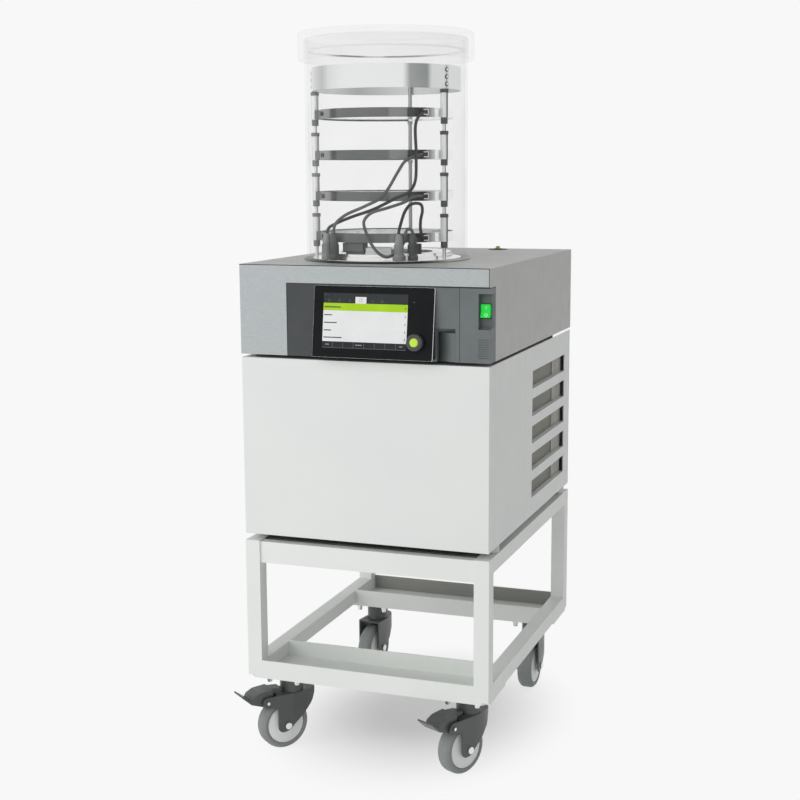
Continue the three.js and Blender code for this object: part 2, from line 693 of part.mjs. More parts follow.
function consolePanel() {
  const slab = box(consoleLeft, headHalf, 0, consoleDepth, headBottom, consoleTop);
  const wrap = box(headHalf - 21, headHalf, consoleDepth - 1, consoleWrap, headBottom, consoleTop);
  const scoopLeft = displayRight + 1;
  const scoop = acrossX(outline([
    [-1, headBottom - 1], [12, headBottom - 1], [12, switchRecessBottom - 8], [4, switchRecessBottom],
    [-1, switchRecessBottom],
  ]), scoopLeft, scoopLeft + scoopWidth);
  const recessX = headHalf - switchRecessWidth;
  const recess = acrossX(outline([
    [-1, switchRecessBottom], [switchRecessDepth - 6, switchRecessBottom],
    [switchRecessDepth, switchRecessBottom + 6], [switchRecessDepth, switchRecessTop], [-1, switchRecessTop],
  ]), recessX, headHalf + 1);
  const seamX = headHalf - seamInset;
  const seam = box(seamX, seamX + 1, -1, 1.2, headBottom - 1, consoleTop + 1);
  const ribs = Array.from({ length: 9 }, (_, i) => box(
    recessX, headHalf - 3, -1, 0.9, headBottom + 9 + i * 4.2, headBottom + 11 + i * 4.2));
  const well = box(rockerX - 0.6, rockerX + rockerWidth + 0.6, -1, consoleDepth + 4,
    rockerCentreZ - rockerHeight / 2 - 0.6, rockerCentreZ + rockerHeight / 2 + 0.6);
  return cut(join(slab, wrap), scoop, recess, seam, well, ...ribs);
}

// ---- display and controls: a group tilted about the display's lower front edge --------------------
const tilt = radians(displayTilt);
const displayFrontY = -displayTopStandoff - displayHeight * Math.sin(tilt);
const displayBottomZ = headBottom + displayLift;
const knobX = displayWidth - knobInset;
const knobZ = knobInset;
const bushingRadius = 5;

// in the tilted group X runs along the display, Z up its face and Y into the machine
function acrossGlass(profile, segments) {
  const geometry = new THREE.LatheGeometry(profile.map(([r, y]) => new THREE.Vector2(r, y)), segments);
  geometry.translate(knobX, 0, knobZ);
  return solid(geometry);
}

function displayHousing() {
  const front = glassThickness + seatGap;
  const back = (v) => (-seatGap - displayFrontY - v * Math.sin(tilt)) / Math.cos(tilt);
  const [low, high] = [1.5, displayHeight - 1.5];
  const wedge = acrossX(outline([[front, low], [back(low + 3), low + 3], [back(high), high], [front, high]]),
    1.5, displayWidth - 1.5);
  const [r, end] = [bushingRadius, front + 1];
  const bushing = acrossGlass([[0, -6], [r, -6], [r, end], [0, end]], knobFacets);
  return wedge.add(bushing);
}

function displayGlass() {
  const pane = acrossY(roundedRectangle(0, displayWidth, 0, displayHeight, 3), 0, glassThickness, 2);
  const clear = bushingRadius + seatGap;
  const beyond = glassThickness + 1;
  return pane.subtract(acrossGlass([[0, -1], [clear, -1], [clear, beyond], [0, beyond]], knobFacets));
}

function controlKnob() {
  const inner = bore(bushingRadius, knobFacets);
  const pocket = bore(capRadius, knobFacets);
  const floor = -knobHeight + 5 + capTravel;
  return acrossGlass([
    [inner, floor], [pocket, floor], [pocket, -knobHeight], [knobRadius - 2, -knobHeight],
    [knobRadius, -knobHeight + 2], [knobRadius, -1], [inner, -1], [inner, floor],
  ], knobFacets);
}

function knobCap() {
  return acrossGlass([
    [0, -knobHeight - 1.2], [capRadius - 2, -knobHeight - 0.8], [capRadius, -knobHeight + 0.4],
    [capRadius, -knobHeight + 4.6], [0, -knobHeight + 4.6],
  ], knobFacets);
}

function addDisplay(machine) {
  const group = new THREE.Group();
  group.position.set(displayLeft, displayFrontY, displayBottomZ);
  group.rotation.x = -tilt;
  group.add(mesh('display_housing', displayHousing(), 0x2b2d2e, 0.5, 0));
  group.add(mesh('display_glass', displayGlass(), 0x1c1e1f, 0.12, 0));
  group.add(mesh('control_knob', controlKnob(), 0x4c4f50, 0.45, 0));
  group.add(mesh('knob_cap', knobCap(), 0xc8e85a, 0.35, 0));
  machine.add(group);
}

// the rocker rests with its upper half pressed in
function rocker() {
  const half = rockerHeight / 2 - 0.6;
  const profile = [
    [-7.5, half - 0.3], [-5.6, 0], [-7.5, -half + 0.3], [-2, -half], [3.6, -6], [3.6, 6], [-2, half],
  ];
  const lean = radians(6);
  const turnedProfile = profile.map(([y, z]) => [
    rockerPivotY + y * Math.cos(lean) + z * Math.sin(lean),
    rockerCentreZ - y * Math.sin(lean) + z * Math.cos(lean),
  ]);
  return acrossX(outline(turnedProfile), rockerX, rockerX + rockerWidth);
}

function topPort() {
  const base = headTop + seatGap;
  return turned([
    [0, base - 10], [7.5, base - 10], [7.5, base], [20, base], [20, base + 4], [17, base + 6],
    [9, base + 6], [9, base + 9], [5, base + 9], [5, base + 14], [0, base + 14],
  ], 10, portX, portY);
}

// ---- chamber ------------------------------------------------------------------------------------
const sealTop = headTop + seatGap + sealHeight;
const tubeFoot = sealTop + seatGap;
const chamberFloor = headTop + basePlateLevel;
const stepTop = chamberFloor + baseStep;
const roundFacets = 36;
const topShelfRim = chamberFloor + lowestShelfRim + (shelfCount - 1) * shelfPitch;
const supportLevel = (i) => topShelfRim - rimHeight - seatGap - i * shelfPitch; // top of a tall collar
const ringBottom = supportLevel(0) + sleeveLength + shortCollar + seatGap;
const lidTop = ringBottom + ringHeight + lidHeadroom + lidThickness;
const tubeTop = lidTop - lidThickness - seatGap;

function chamberSeal() {
  const [inner, outer] = [tubeRadius - sealOverlap, tubeRadius + tubeFlange + 2];
  return ring(inner, outer, headTop + seatGap, sealTop, roundFacets, chamberX, chamberY);
}

function chamberTube() {
  const [inner, outer] = [tubeInner, tubeRadius];
  const [flange, flangeTop] = [outer + tubeFlange, tubeFoot + tubeFlangeHeight];
  return turned([
    [inner, tubeFoot], [flange, tubeFoot], [flange, flangeTop], [outer, flangeTop + 3],
    [outer, tubeTop], [inner, tubeTop], [inner, tubeFoot],
  ], roundFacets, chamberX, chamberY);
}

function chamberLid() {
  const [under, skirtFoot] = [lidTop - lidThickness, lidTop - lidSkirt];
  const [skirtInner, lidRadius] = [tubeRadius + lidClearance, tubeRadius + lidOverhang];
  return turned([
    [0, under], [skirtInner, under], [skirtInner, skirtFoot], [lidRadius, skirtFoot],
    [lidRadius, lidTop - 6], [lidRadius - 6, lidTop], [0, lidTop],
  ], roundFacets, chamberX, chamberY);
}

// a block at a bearing, wide across the radius, between two radii
function blockAt(bearing, r0, r1, width, z0, z1) {
  const geometry = new THREE.BoxGeometry(width, r1 - r0, z1 - z0);
  geometry.translate(0, -(r0 + r1) / 2, (z0 + z1) / 2);
  geometry.rotateZ(radians(bearing));
  geometry.translate(chamberX, chamberY, 0);
  return solid(geometry);
}

function basePlate() {
  const under = headTop + seatGap;
  const [mouth, rim, step] = [trapRadius - 18, plateRadius, shelfRadius - 2];
  const plate = turned([
    [mouth, under], [rim, under], [rim, chamberFloor], [step, chamberFloor], [step, stepTop],
    [mouth, stepTop], [mouth, under],
  ], roundFacets, chamberX, chamberY);
  const blocks = [
    blockAt(-11, shelfRadius - 26, shelfRadius - 8, 42, stepTop - 1, stepTop + 19),
    blockAt(12, shelfRadius - 30, shelfRadius - 12, 52, stepTop - 1, stepTop + 4),
    blockAt(12, shelfRadius - 28, shelfRadius - 14, 50, stepTop + 3, stepTop + 16),
    blockAt(51, shelfRadius - 22, shelfRadius - 8, 11, stepTop - 1, stepTop + 18),
  ];
  return join(plate, ...blocks);
}

function coldTrap() {
  const [top, bottom, wall] = [headTop - seatGap, headTop - trapDepth, 3];
  return turned([
    [0, bottom], [trapRadius, bottom], [trapRadius, top], [trapRadius - wall, top],
    [trapRadius - wall, bottom + wall], [0, bottom + wall],
  ], trapFacets, chamberX, chamberY);
}

// ---- rack ---------------------------------------------------------------------------------------
const rodFoot = chamberFloor + seatGap;

function rackPost(side) {
  const profile = [[0, rodFoot], [rodRadius, rodFoot]];
  for (let i = shelfCount - 1; i >= 0; i -= 1) {
    const level = supportLevel(i);
    const sleeveTop = level + sleeveLength;
    profile.push([rodRadius, level - tallCollar], [collarRadius, level - tallCollar], [collarRadius, level]);
    profile.push([sleeveRadius, level], [sleeveRadius, sleeveTop], [collarRadius, sleeveTop]);
    profile.push([collarRadius, sleeveTop + shortCollar], [rodRadius, sleeveTop + shortCollar]);
  }
  const rodTop = ringBottom + ringHeight - 8;
  profile.push([rodRadius, rodTop], [0, rodTop]);
  return turned(profile, 8, ...aroundChamber(postCircle, side * postAngle));
}

function topRing() {
  const top = ringBottom + ringHeight;
  const inside = ringRadius - ringSheet;
  const band = ring(inside, ringRadius, ringBottom, top, roundFacets, chamberX, chamberY);
  const profile = [[0, rodFoot], [rodRadius, rodFoot]];
  for (let i = shelfCount - 1; i >= 0; i -= 1) {
    const level = supportLevel(i);
    profile.push([rodRadius, level - 6], [5.4, level - 6], [5.4, level], [rodRadius, level]);
  }
  profile.push([rodRadius, top + 5], [0, top + 5]);
  const rearRod = turned(profile, 6, ...aroundChamber(postCircle, 180));
  const rearJoint = blockAt(180, postCircle, inside + 0.5, 4, ringBottom, top);
  const rivets = [-postAngle, postAngle].flatMap((bearing) => [0.22, 0.5, 0.78].map(
    (f) => stud(bearing, inside - 1, ringRadius + 1.2, 2.2, ringBottom + f * ringHeight)));
  return join(band, rearRod, rearJoint, ...rivets);
}

// a short rod along the radius at a bearing
function stud(bearing, r0, r1, radius, z) {
  const geometry = new THREE.CylinderGeometry(radius, radius, r1 - r0, 6);
  geometry.translate(0, -(r0 + r1) / 2, z);
  geometry.rotateZ(radians(bearing));
  geometry.translate(chamberX, chamberY, 0);
  return solid(geometry);
}

function shelf(i) {
  const top = topShelfRim - i * shelfPitch;
  const bottom = top - rimHeight;
  const rimInner = shelfRadius - rimThickness;
  const tray = turned([
    [0, bottom], [shelfRadius, bottom], [shelfRadius, top], [rimInner, top],
    [rimInner, bottom + shelfPlate], [0, bottom + shelfPlate],
  ], shelfFacets, chamberX, chamberY);
  const supports = [[-postAngle, sleeveRadius], [postAngle, sleeveRadius], [180, rodRadius]];
  const room = ([bearing, radius]) => disc(
    radius + 0.4, bottom - 1, top + 1, 8, ...aroundChamber(postCircle, bearing));
  const ears = supports.map(([bearing, radius]) => blockAt(
    bearing, rimInner - 1, postCircle - 0.5, 2 * radius + 6, bottom, top));
  const inside = disc(rimInner - 0.5, bottom - 1, top + 1, shelfFacets, chamberX, chamberY);
  const [socketIn, socketOut] = [shelfRadius - 10, shelfRadius + 4.5];
  const socket = blockAt(socketBearing, socketIn, socketOut, socketLength, bottom, top).subtract(inside);
  const connector = blockAt(connectorBearing, shelfRadius + 1, shelfRadius + 15, 12, bottom + 4, top - 4);
  const plugSpot = aroundChamber(plugCircle, plugAngles[3]);
  const plugRoom = disc(plugRadius + 0.6, bottom - 1, top + 1, 10, ...plugSpot);
  return cut(join(tray, ...ears, socket, connector), plugRoom, ...supports.map(room));
}

// ---- plugs and leads ----------------------------------------------------------------------------
const plugFoot = chamberFloor + seatGap;

function plug(bearing) {
  const top = plugFoot + plugHeight;
  return turned([
    [0, plugFoot], [plugRadius, plugFoot], [plugRadius, plugFoot + 9], [plugRadius - 1.2, plugFoot + 12],
    [plugRadius - 1.4, plugFoot + 31], [plugRadius - 2.4, plugFoot + 39], [4, top - 3], [0, top],
  ], 10, ...aroundChamber(plugCircle, bearing));
}

// [radius, bearing, height above the head]; each lead runs from its shelf's connector to its plug
const leadRoutes = {
  lead_1: [
    [145, 50.7, 287], [145, 48, 287], [145.5, 45.6, 280], [146, 44.7, 268], [148, 44.4, 250],
    [150.5, 44.6, 228], [151.8, 45, 205], [151, 45.3, 184], [148.5, 45, 164], [146.5, 43.2, 148],
    [146, 39.6, 138.5], [146, 34, 128.5], [146, 26.5, 119.5], [146, 19, 112], [146, 11.5, 105],
    [146, 3.5, 98.5], [145.5, -4.5, 92.5], [144, -12.5, 86.5], [141.5, -20.5, 80],
    [141.5, -28.5, 74.5], [143.5, -35, 70.5], [145, -38, 65], [145, -38, 62.1],
  ],
  lead_2: [
    [145, 50.7, 207.5], [144.8, 47.5, 207], [144.8, 43.5, 206], [144.8, 39.4, 201.5],
    [145, 35.4, 191.5], [146, 30.5, 175], [146.5, 25.2, 157], [147, 19.6, 139], [147, 13.5, 126.5],
    [147.5, 6, 119.5], [148, -2, 113], [148.5, -9.8, 105.5], [149.5, -16.8, 96.5],
    [150, -22.2, 86.5], [148.5, -25.8, 76], [145.8, -27.5, 67], [145, -27.5, 62.1],
  ],
  lead_3: [
    [145, 50.7, 127.5], [145, 47.4, 127], [145, 42.6, 125.5], [145.5, 38.2, 120.5],
    [147.5, 32.8, 112.5], [149.5, 26, 106.5], [150, 18.5, 102.5], [150, 11, 98.5], [150, 5, 92.5],
    [149, 1.9, 83], [147, 1.8, 70.5], [146, 3.6, 56], [146, 7, 41], [146.5, 11, 27.5],
    [146.5, 14.5, 18], [145.5, 18, 13.5], [140.5, 21.4, 15.8], [133, 24.4, 20.4], [129.8, 28.4, 23.6],
    [132.6, 31.8, 28.6], [138.6, 33.6, 36.6], [143.5, 34, 46], [146, 34, 57], [148, 34.9, 68],
    [147.6, 37.2, 74.6], [145.6, 39.3, 70.6], [145, 39.5, 64.6], [145, 39.5, 62.1],
  ],
  lead_4: [
    [145, 50.7, 48], [145.4, 49.2, 49], [146, 47.4, 56], [146.5, 46.9, 70], [146.5, 48, 84],
    [146, 48.2, 97], [146, 46, 107], [146, 42, 110.5], [146, 38, 106.5], [146, 34.5, 97],
    [145.5, 31.2, 85], [145, 29, 74], [145, 28.5, 66], [145, 28.5, 62.1],
  ],
};

function lead(route) {
  const points = route.map(([radius, bearing, height]) => {
    const [x, y] = aroundChamber(radius, bearing);
    return new THREE.Vector3(x, y, headTop + height);
  });
  const path = new THREE.CatmullRomCurve3(points, false, 'centripetal');
  const section = new THREE.Shape();
  section.absarc(0, 0, leadDiameter / 2, 0, 2 * Math.PI);
  const steps = Math.round(path.getLength() / (2.8 * leadDiameter));
  const sweep = { steps, curveSegments: 4, bevelEnabled: false, extrudePath: path };
  return solid(new THREE.ExtrudeGeometry(section, sweep));
}

// ---- the machine --------------------------------------------------------------------------------
function addCabinet(machine) {
  const front = frontPanelReturn + seatGap;
  machine.add(mesh('front_panel', frontPanel(), 0xdfe2e0, 0.45, 0.1));
  const back = bodyDepth - sheet - seatGap;
  machine.add(mesh('left_side_panel', sidePanel(-1, front, back), 0xdfe2e0, 0.45, 0.1));
  machine.add(mesh('right_side_panel', sidePanel(1, front, sideSeam), 0xdfe2e0, 0.45, 0.1));
  machine.add(mesh('right_vent_panel', ventPanel(), 0xdfe2e0, 0.45, 0.1));
  machine.add(mesh('chassis', chassis(), 0xb8bab8, 0.5, 0.2));
  machine.add(mesh('condenser_core', condenserCore(), 0xb9bcbb, 0.4, 0.8));
  machine.add(mesh('fan_rotor', fanRotor(), 0x2a2b2c, 0.6, 0));
  machine.add(mesh('compressor', compressor(), 0x1f2021, 0.5, 0.2));
}

function addHead(machine) {
  machine.add(mesh('hood', hood(), 0x9c9c98, 0.5, 0.3));
  machine.add(mesh('fascia', fascia(), 0xb9c0c1, 0.4, 0.7));
  machine.add(mesh('console', consolePanel(), 0x606567, 0.55, 0));
  machine.add(mesh('rocker_switch', rocker(), 0x33e04c, 0.3, 0));
  machine.add(mesh('top_port', topPort(), 0x4a4c4b, 0.5, 0));
  addDisplay(machine);
}

function addChamber(machine) {
  const acrylic = { transparent: true, opacity: 0.25 };
  machine.add(mesh('chamber_seal', chamberSeal(), 0x2b2c2c, 0.8, 0));
  machine.add(mesh('chamber_tube', chamberTube(), 0xf2f5f5, 0.05, 0, acrylic));
  machine.add(mesh('chamber_lid', chamberLid(), 0xf2f5f5, 0.05, 0, acrylic));
  machine.add(mesh('base_plate', basePlate(), 0xd2d5d4, 0.25, 1));
  machine.add(mesh('cold_trap', coldTrap(), 0xc2c5c4, 0.3, 1));
}

function addRack(machine) {
  machine.add(mesh('left_rack_post', rackPost(-1), 0xc9cccb, 0.25, 1));
  machine.add(mesh('right_rack_post', rackPost(1), 0xc9cccb, 0.25, 1));
  machine.add(mesh('top_ring', topRing(), 0xc9cccb, 0.25, 1));
  for (let i = 0; i < shelfCount; i += 1) {
    machine.add(mesh(`shelf_${i + 1}`, shelf(i), 0x8a8d8c, 0.35, 0.8));
  }
  plugAngles.forEach((bearing, i) => {
    machine.add(mesh(`plug_${i + 1}`, plug(bearing), 0x5a5d5d, 0.6, 0));
  });
  Object.entries(leadRoutes).forEach(([name, route]) => {
    machine.add(mesh(name, lead(route), 0x4b4f4e, 0.6, 0));
  });
}

// stands the machine with its floor contact at Z = 0 and the middle of its plan at X = Y = 0
function standOnOrigin(machine) {
  machine.updateMatrixWorld(true);
  const reach = new THREE.Box3().setFromObject(machine, true);
  const middle = reach.getCenter(new THREE.Vector3());
  machine.position.set(-middle.x, -middle.y, -reach.min.z);
  machine.updateMatrixWorld(true);
}

const freezeDryer = new THREE.Group();
const casterX = standHalf - casterInsetX;
const rearCasterY = bodyDepth - casterInsetY;
addCaster(freezeDryer, 'front_left', -casterX, casterInsetY, true);
addCaster(freezeDryer, 'front_right', casterX, casterInsetY, true);
addCaster(freezeDryer, 'rear_left', -casterX, rearCasterY, false);
addCaster(freezeDryer, 'rear_right', casterX, rearCasterY, false);
freezeDryer.add(mesh('stand_frame', standFrame(), 0xdfe2e0, 0.45, 0.1));
addCabinet(freezeDryer);
addHead(freezeDryer);
addChamber(freezeDryer);
addRack(freezeDryer);
standOnOrigin(freezeDryer);

export default freezeDryer;
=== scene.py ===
import json
from math import atan2, cos, degrees, hypot, pi, radians, sin

import bmesh
import bpy
from mathutils import Matrix, Vector

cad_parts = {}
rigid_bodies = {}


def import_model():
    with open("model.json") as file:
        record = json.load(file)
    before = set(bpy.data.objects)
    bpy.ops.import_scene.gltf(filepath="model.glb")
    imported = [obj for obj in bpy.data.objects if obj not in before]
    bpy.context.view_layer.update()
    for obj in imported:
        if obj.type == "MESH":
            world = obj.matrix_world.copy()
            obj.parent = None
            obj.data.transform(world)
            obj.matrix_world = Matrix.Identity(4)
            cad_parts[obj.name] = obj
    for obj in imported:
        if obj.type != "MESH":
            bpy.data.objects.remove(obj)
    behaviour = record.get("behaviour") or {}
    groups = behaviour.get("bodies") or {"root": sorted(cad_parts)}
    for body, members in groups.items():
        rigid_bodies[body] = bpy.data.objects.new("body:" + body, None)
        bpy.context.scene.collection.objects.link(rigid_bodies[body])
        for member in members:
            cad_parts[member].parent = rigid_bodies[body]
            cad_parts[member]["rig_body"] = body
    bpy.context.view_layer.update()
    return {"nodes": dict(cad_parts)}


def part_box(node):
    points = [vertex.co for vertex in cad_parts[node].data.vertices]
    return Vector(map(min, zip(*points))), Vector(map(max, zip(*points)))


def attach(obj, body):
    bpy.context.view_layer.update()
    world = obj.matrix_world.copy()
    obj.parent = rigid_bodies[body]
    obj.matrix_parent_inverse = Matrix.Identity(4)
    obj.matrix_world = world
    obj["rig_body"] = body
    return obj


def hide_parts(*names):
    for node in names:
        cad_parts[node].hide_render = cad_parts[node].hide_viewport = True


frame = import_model()
scene = bpy.context.scene
scene.view_settings.view_transform = "Standard"
move, spin = Matrix.Translation, Matrix.Rotation

# Lengths are in millimetres. A spot is (x, y, z) from the middle of the front face's foot: x to the right,
# y to the back and z up from the floor. place() turns it into metres in the frame.
body = {"depth": 645, "halfWidth": 252, "headTop": 995.5, "headBottom": 821.3}
hoodLow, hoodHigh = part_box("hood")
originShift = Vector((
    (hoodLow.x + hoodHigh.x) / 2, hoodHigh.y - body["depth"] / 1000, hoodHigh.z - body["headTop"] / 1000))


def place(x, y, z):
    return Vector((x, y, z)) / 1000 + originShift


def addObject(name, data):
    thing = bpy.data.objects.new(name, data)
    scene.collection.objects.link(thing)
    return thing


view = {"spot": (966.5, -2465.3, 1173.6), "yaw": 0.34649, "pitch": -0.16173, "roll": -0.00555, "lens": 63.59}
camera = addObject("camera", bpy.data.cameras.new("camera"))
camera.data.sensor_width = 36
camera.data.lens = view["lens"]
camera.matrix_world = (
    move(place(*view["spot"])) @ spin(view["yaw"], 4, "Z")
    @ spin(pi / 2 + view["pitch"], 4, "X") @ spin(view["roll"], 4, "Z"))
scene.camera = camera
print("camera")

chamber = {
    "x": -30, "y": 224, "tubeRadius": 162, "tubeWall": 5, "flange": 4, "flangeHeight": 6, "sealFoot": 995.8,
    "sealTop": 999, "tubeFoot": 999.3, "tubeTop": 1427.7, "lidRadius": 175, "lidTop": 1440,
    "lidThickness": 12, "lidSkirt": 55, "skirtInner": 163.5}
chamberAxis, roundSegments = (chamber["x"], chamber["y"], 0), 128
headTop, headBottom = body["headTop"], body["headBottom"]


def aroundChamber(radius, bearing, z):
    a = radians(bearing)
    return (chamber["x"] + radius * sin(a), chamber["y"] - radius * cos(a), z)


def linear(hexColour):
    channels = [int(hexColour[i : i + 2], 16) / 255 for i in (0, 2, 4)]
    return [c / 12.92 if c <= 0.04045 else ((c + 0.055) / 1.055) ** 2.4 for c in channels] + [1]


def newMaterial(name):
    material = bpy.data.materials.new(name)
    material.use_nodes = True
    return material, material.node_tree


# settings go to the node's inputs by name or number, or else to its own properties. A node that is linked to
# another stands for its first output.
def addNode(material, kind, settings=None, links=None):
    node = material.node_tree.nodes.new("ShaderNode" + kind)
    for name, value in (settings or {}).items():
        if name == "stops":
            while len(node.color_ramp.elements) < len(value):
                node.color_ramp.elements.new(0.5)
            for element, (position, colour) in zip(node.color_ramp.elements, value):
                element.position = position
                element.color = linear(colour)
        elif isinstance(name, int) or name in node.inputs:
            node.inputs[name].default_value = value
        else:
            setattr(node, name, value)
    for name, output in (links or {}).items():
        material.node_tree.links.new(getattr(output, "outputs", [output])[0], node.inputs[name])
    return node


# An opaque surface. tone, wear and relief are patterns: a grain in mm, and how much finer it runs along x, y
# and z. toneBy makes a share from 0 to 1 that places the colours instead.
def addSurface(name, colours, roughness, tone, wear, relief, depth, metallic=0.0, specular=0.5, toneBy=None):
    material, tree = newMaterial(name)
    shader = tree.nodes["Principled BSDF"]
    spot = addNode(material, "TexCoord").outputs["Object"]
    patterns = []
    for grain, stretch in (tone, wear, relief):
        run = addNode(material, "Mapping", {"Scale": stretch}, {"Vector": spot})
        noise = addNode(material, "TexNoise", {"Scale": 1000 / grain, "Detail": 3.0}, {"Vector": run})
        patterns.append(noise)
    stops = [(0.3 + 0.4 * i / (len(colours) - 1), colour) for i, colour in enumerate(colours)]
    if toneBy:
        patterns[0], stops = toneBy(material), colours
    shades = addNode(material, "ValToRGB", {"stops": stops}, {"Fac": patterns[0]})
    worn = addNode(material, "MapRange", {
        "From Min": 0.3, "From Max": 0.7, "To Min": roughness[0], "To Max": roughness[1]}, {
        "Value": patterns[1]})
    bump = addNode(material, "Bump", {"Distance": depth / 1000}, {"Height": patterns[2]})
    for key, node in (("Base Color", shades), ("Roughness", worn), ("Normal", bump)):
        tree.links.new(node.outputs[0], shader.inputs[key])
    shader.inputs["Metallic"].default_value = metallic
    shader.inputs["Specular IOR Level"].default_value = specular
    material.diffuse_color = linear(stops[0][1])
    return shader


even = (1, 1, 1)


# Polyester powder coat on steel: satin, with an orange-peel skin and colour that is barely uneven.
def powderCoat(name, low, high, roughness, peel=1.6):
    worn = (roughness - 0.05, roughness + 0.06)
    addSurface(name, (low, high), worn, (260, even), (34, even), (peel, even), 0.03)


# Moulded plastic or rubber: a spark-eroded grain, about 0.9 mm, breaks the highlight up.
def moulded(name, low, high, roughness=0.5, grain=0.9, depth=0.02):
    worn = (roughness - 0.04, roughness + 0.06)
    addSurface(name, (low, high), worn, (55, even), (13, even), (grain, even), depth)


# Brushed or turned metal: long fine lines, drawn 0.5 mm wide so that they show, stretch the highlight.
def brushed(name, low, high, roughness, run, metallic=1.0):
    worn = (roughness - 0.05, roughness + 0.08)
    addSurface(name, (low, high), worn, (0.5, run), (0.5, run), (0.5, run), 0.006, metallic)


# A clear or printed face that may be lit from behind: smooth, with smears that show only in the gloss.
def litPlastic(name, low, high, glow=0.1, roughness=0.3, specular=0.15):
    worn = (roughness - 0.04, roughness + 0.05)
    shader = addSurface(name, (low, high), worn, (40, even), (25, even), (12, even), 0.004, 0.0, specular)
    shader.inputs["Emission Color"].default_value = linear(high)
    shader.inputs["Emission Strength"].default_value = glow


# 0 to 1 round the upright axis at x, y, with the front at 0.5
def bearingShare(material, x, y):
    spot = addNode(material, "TexCoord").outputs["Object"]
    local = addNode(material, "VectorMath", {"operation": "SUBTRACT", 1: place(x, y, 0)}, {0: spot})
    split = addNode(material, "SeparateXYZ", {}, {0: local})
    front = addNode(material, "Math", {"operation": "MULTIPLY", 1: -1.0}, {0: split.outputs[1]})
    angle = addNode(material, "Math", {"operation": "ARCTAN2"}, {0: split, 1: front})
    return addNode(material, "Math", {"operation": "MULTIPLY_ADD", 1: 1 / (2 * pi), 2: 0.5}, {0: angle})


# 0 to 1 along x between two places
def acrossShare(material, low, high):
    spot = addNode(material, "TexCoord").outputs["Object"]
    split = addNode(material, "SeparateXYZ", {}, {0: spot})
    return addNode(material, "MapRange", {
        "From Min": place(low, 0, 0).x, "From Max": place(high, 0, 0).x}, {"Value": split})


# Painted reflections and shade: turned metal or rubber whose colour runs round its axis in bands of
# (bearing, colour), standing for its surroundings mirrored in it and the light falling on it.
def paintedLightBands(name, bands, roughness, metallic, x=chamber["x"], y=chamber["y"]):
    lines = (0.6, (0.05, 0.05, 1))
    stops = [(0.5 + bearing / 360, colour) for bearing, colour in bands]
    worn = (roughness - 0.04, roughness + 0.06)
    addSurface(name, stops, worn, lines, lines, lines, 0.002, metallic,
               toneBy=lambda material: bearingShare(material, x, y))


# Cast acrylic: clear and polished, with a faint milk that gathers where it is seen aslant. Its thin walls
# don't bend the view, and light falls straight through them on to the rack.
def castAcrylic(name, tint, haze, edgeHaze):
    material, tree = newMaterial(name)
    shader = tree.nodes["Principled BSDF"]
    for key, value in (
            ("Base Color", linear(tint)), ("Transmission Weight", 1), ("IOR", 1), ("Roughness", 0)):
        shader.inputs[key].default_value = value
    spot = addNode(material, "TexCoord").outputs["Object"]
    cloud = addNode(material, "TexNoise", {"Scale": 1000 / 90}, {"Vector": spot})
    aslant = addNode(material, "LayerWeight", {"Blend": 0.35})
    spread = addNode(material, "MapRange", {
        "From Min": 0.2, "From Max": 1, "To Min": haze, "To Max": edgeHaze}, {
        "Value": aslant.outputs["Facing"]})
    amount = addNode(material, "Math", {"operation": "MULTIPLY"}, {0: spread, 1: cloud})
    milk = addNode(material, "BsdfDiffuse", {"Color": linear("fafafa")})
    cloudy = addNode(material, "MixShader", {}, {0: amount, 1: shader, 2: milk})
    path = addNode(material, "LightPath")
    straight = addNode(material, "Math", {"operation": "MAXIMUM"}, {
        0: path.outputs["Is Shadow Ray"], 1: path.outputs["Is Diffuse Ray"]})
    through = addNode(material, "BsdfTransparent", {"Color": linear("fafbfb")})
    whole = addNode(material, "MixShader", {}, {0: straight, 1: cloudy, 2: through})
    tree.links.new(whole.outputs[0], tree.nodes["Material Output"].inputs["Surface"])
    material.diffuse_color = linear("fbfcfc")


for finish in (
        ("white_powder_coat", "e5e8e6", "e9ece9", 0.42),
        ("stand_powder_coat", "e9ece9", "eef1ed", 0.40, 1.9),
        ("trough_powder_coat", "94948f", "9b9b96", 0.46, 1.9),
        ("grey_powder_coat", "b5b6b2", "bbbcb8", 0.44), ("fork_powder_coat", "4b4e4d", "565958", 0.36),
        ("compressor_enamel", "17181a", "222325", 0.38)):
    powderCoat(*finish)
for finish in (
        ("plinth_paint", "1d1f1f", "262828", 0.6), ("stand_mat_rubber", "4a4c4b", "545755", 0.7),
        ("console_abs", "676d6d", "6e7474"), ("recess_abs", "515757", "595f5f", 0.55),
        ("console_strip_abs", "3c3f40", "434647"), ("bezel_abs", "1f2122", "2a2c2d"),
        ("knob_abs", "3b3e3f", "484b4c", 0.45), ("socket_abs", "0a0b0b", "121313", 0.6),
        ("socket_body_abs", "2c2e2e", "343737", 0.6), ("rim_hole_grommet", "0a0b0b", "121313", 0.7),
        ("socket_trim_abs", "eef0f0", "f6f7f7", 0.4), ("plug_rubber_pale", "868a89", "999d9c", 0.55),
        ("plug_rubber_dark", "3d4040", "4d504f"), ("collar_nylon_pale", "6f7372", "7b7f7e"),
        ("collar_nylon_dark", "484c4b", "535756"), ("block_nylon", "565a59", "616564"),
        ("duct_lining", "4b4a46", "575651", 0.6), ("hub_nylon", "eef0f0", "f6f8f8", 0.38),
        ("joint_gasket", "2b2e2d", "343736", 0.6), ("lead_silicone", "4b4f4e", "5d6160"),
        ("lead_silicone_dark", "141616", "202222"), ("tyre_rubber", "858a89", "909594", 0.6, 2.0, 0.06)):
    moulded(*finish)
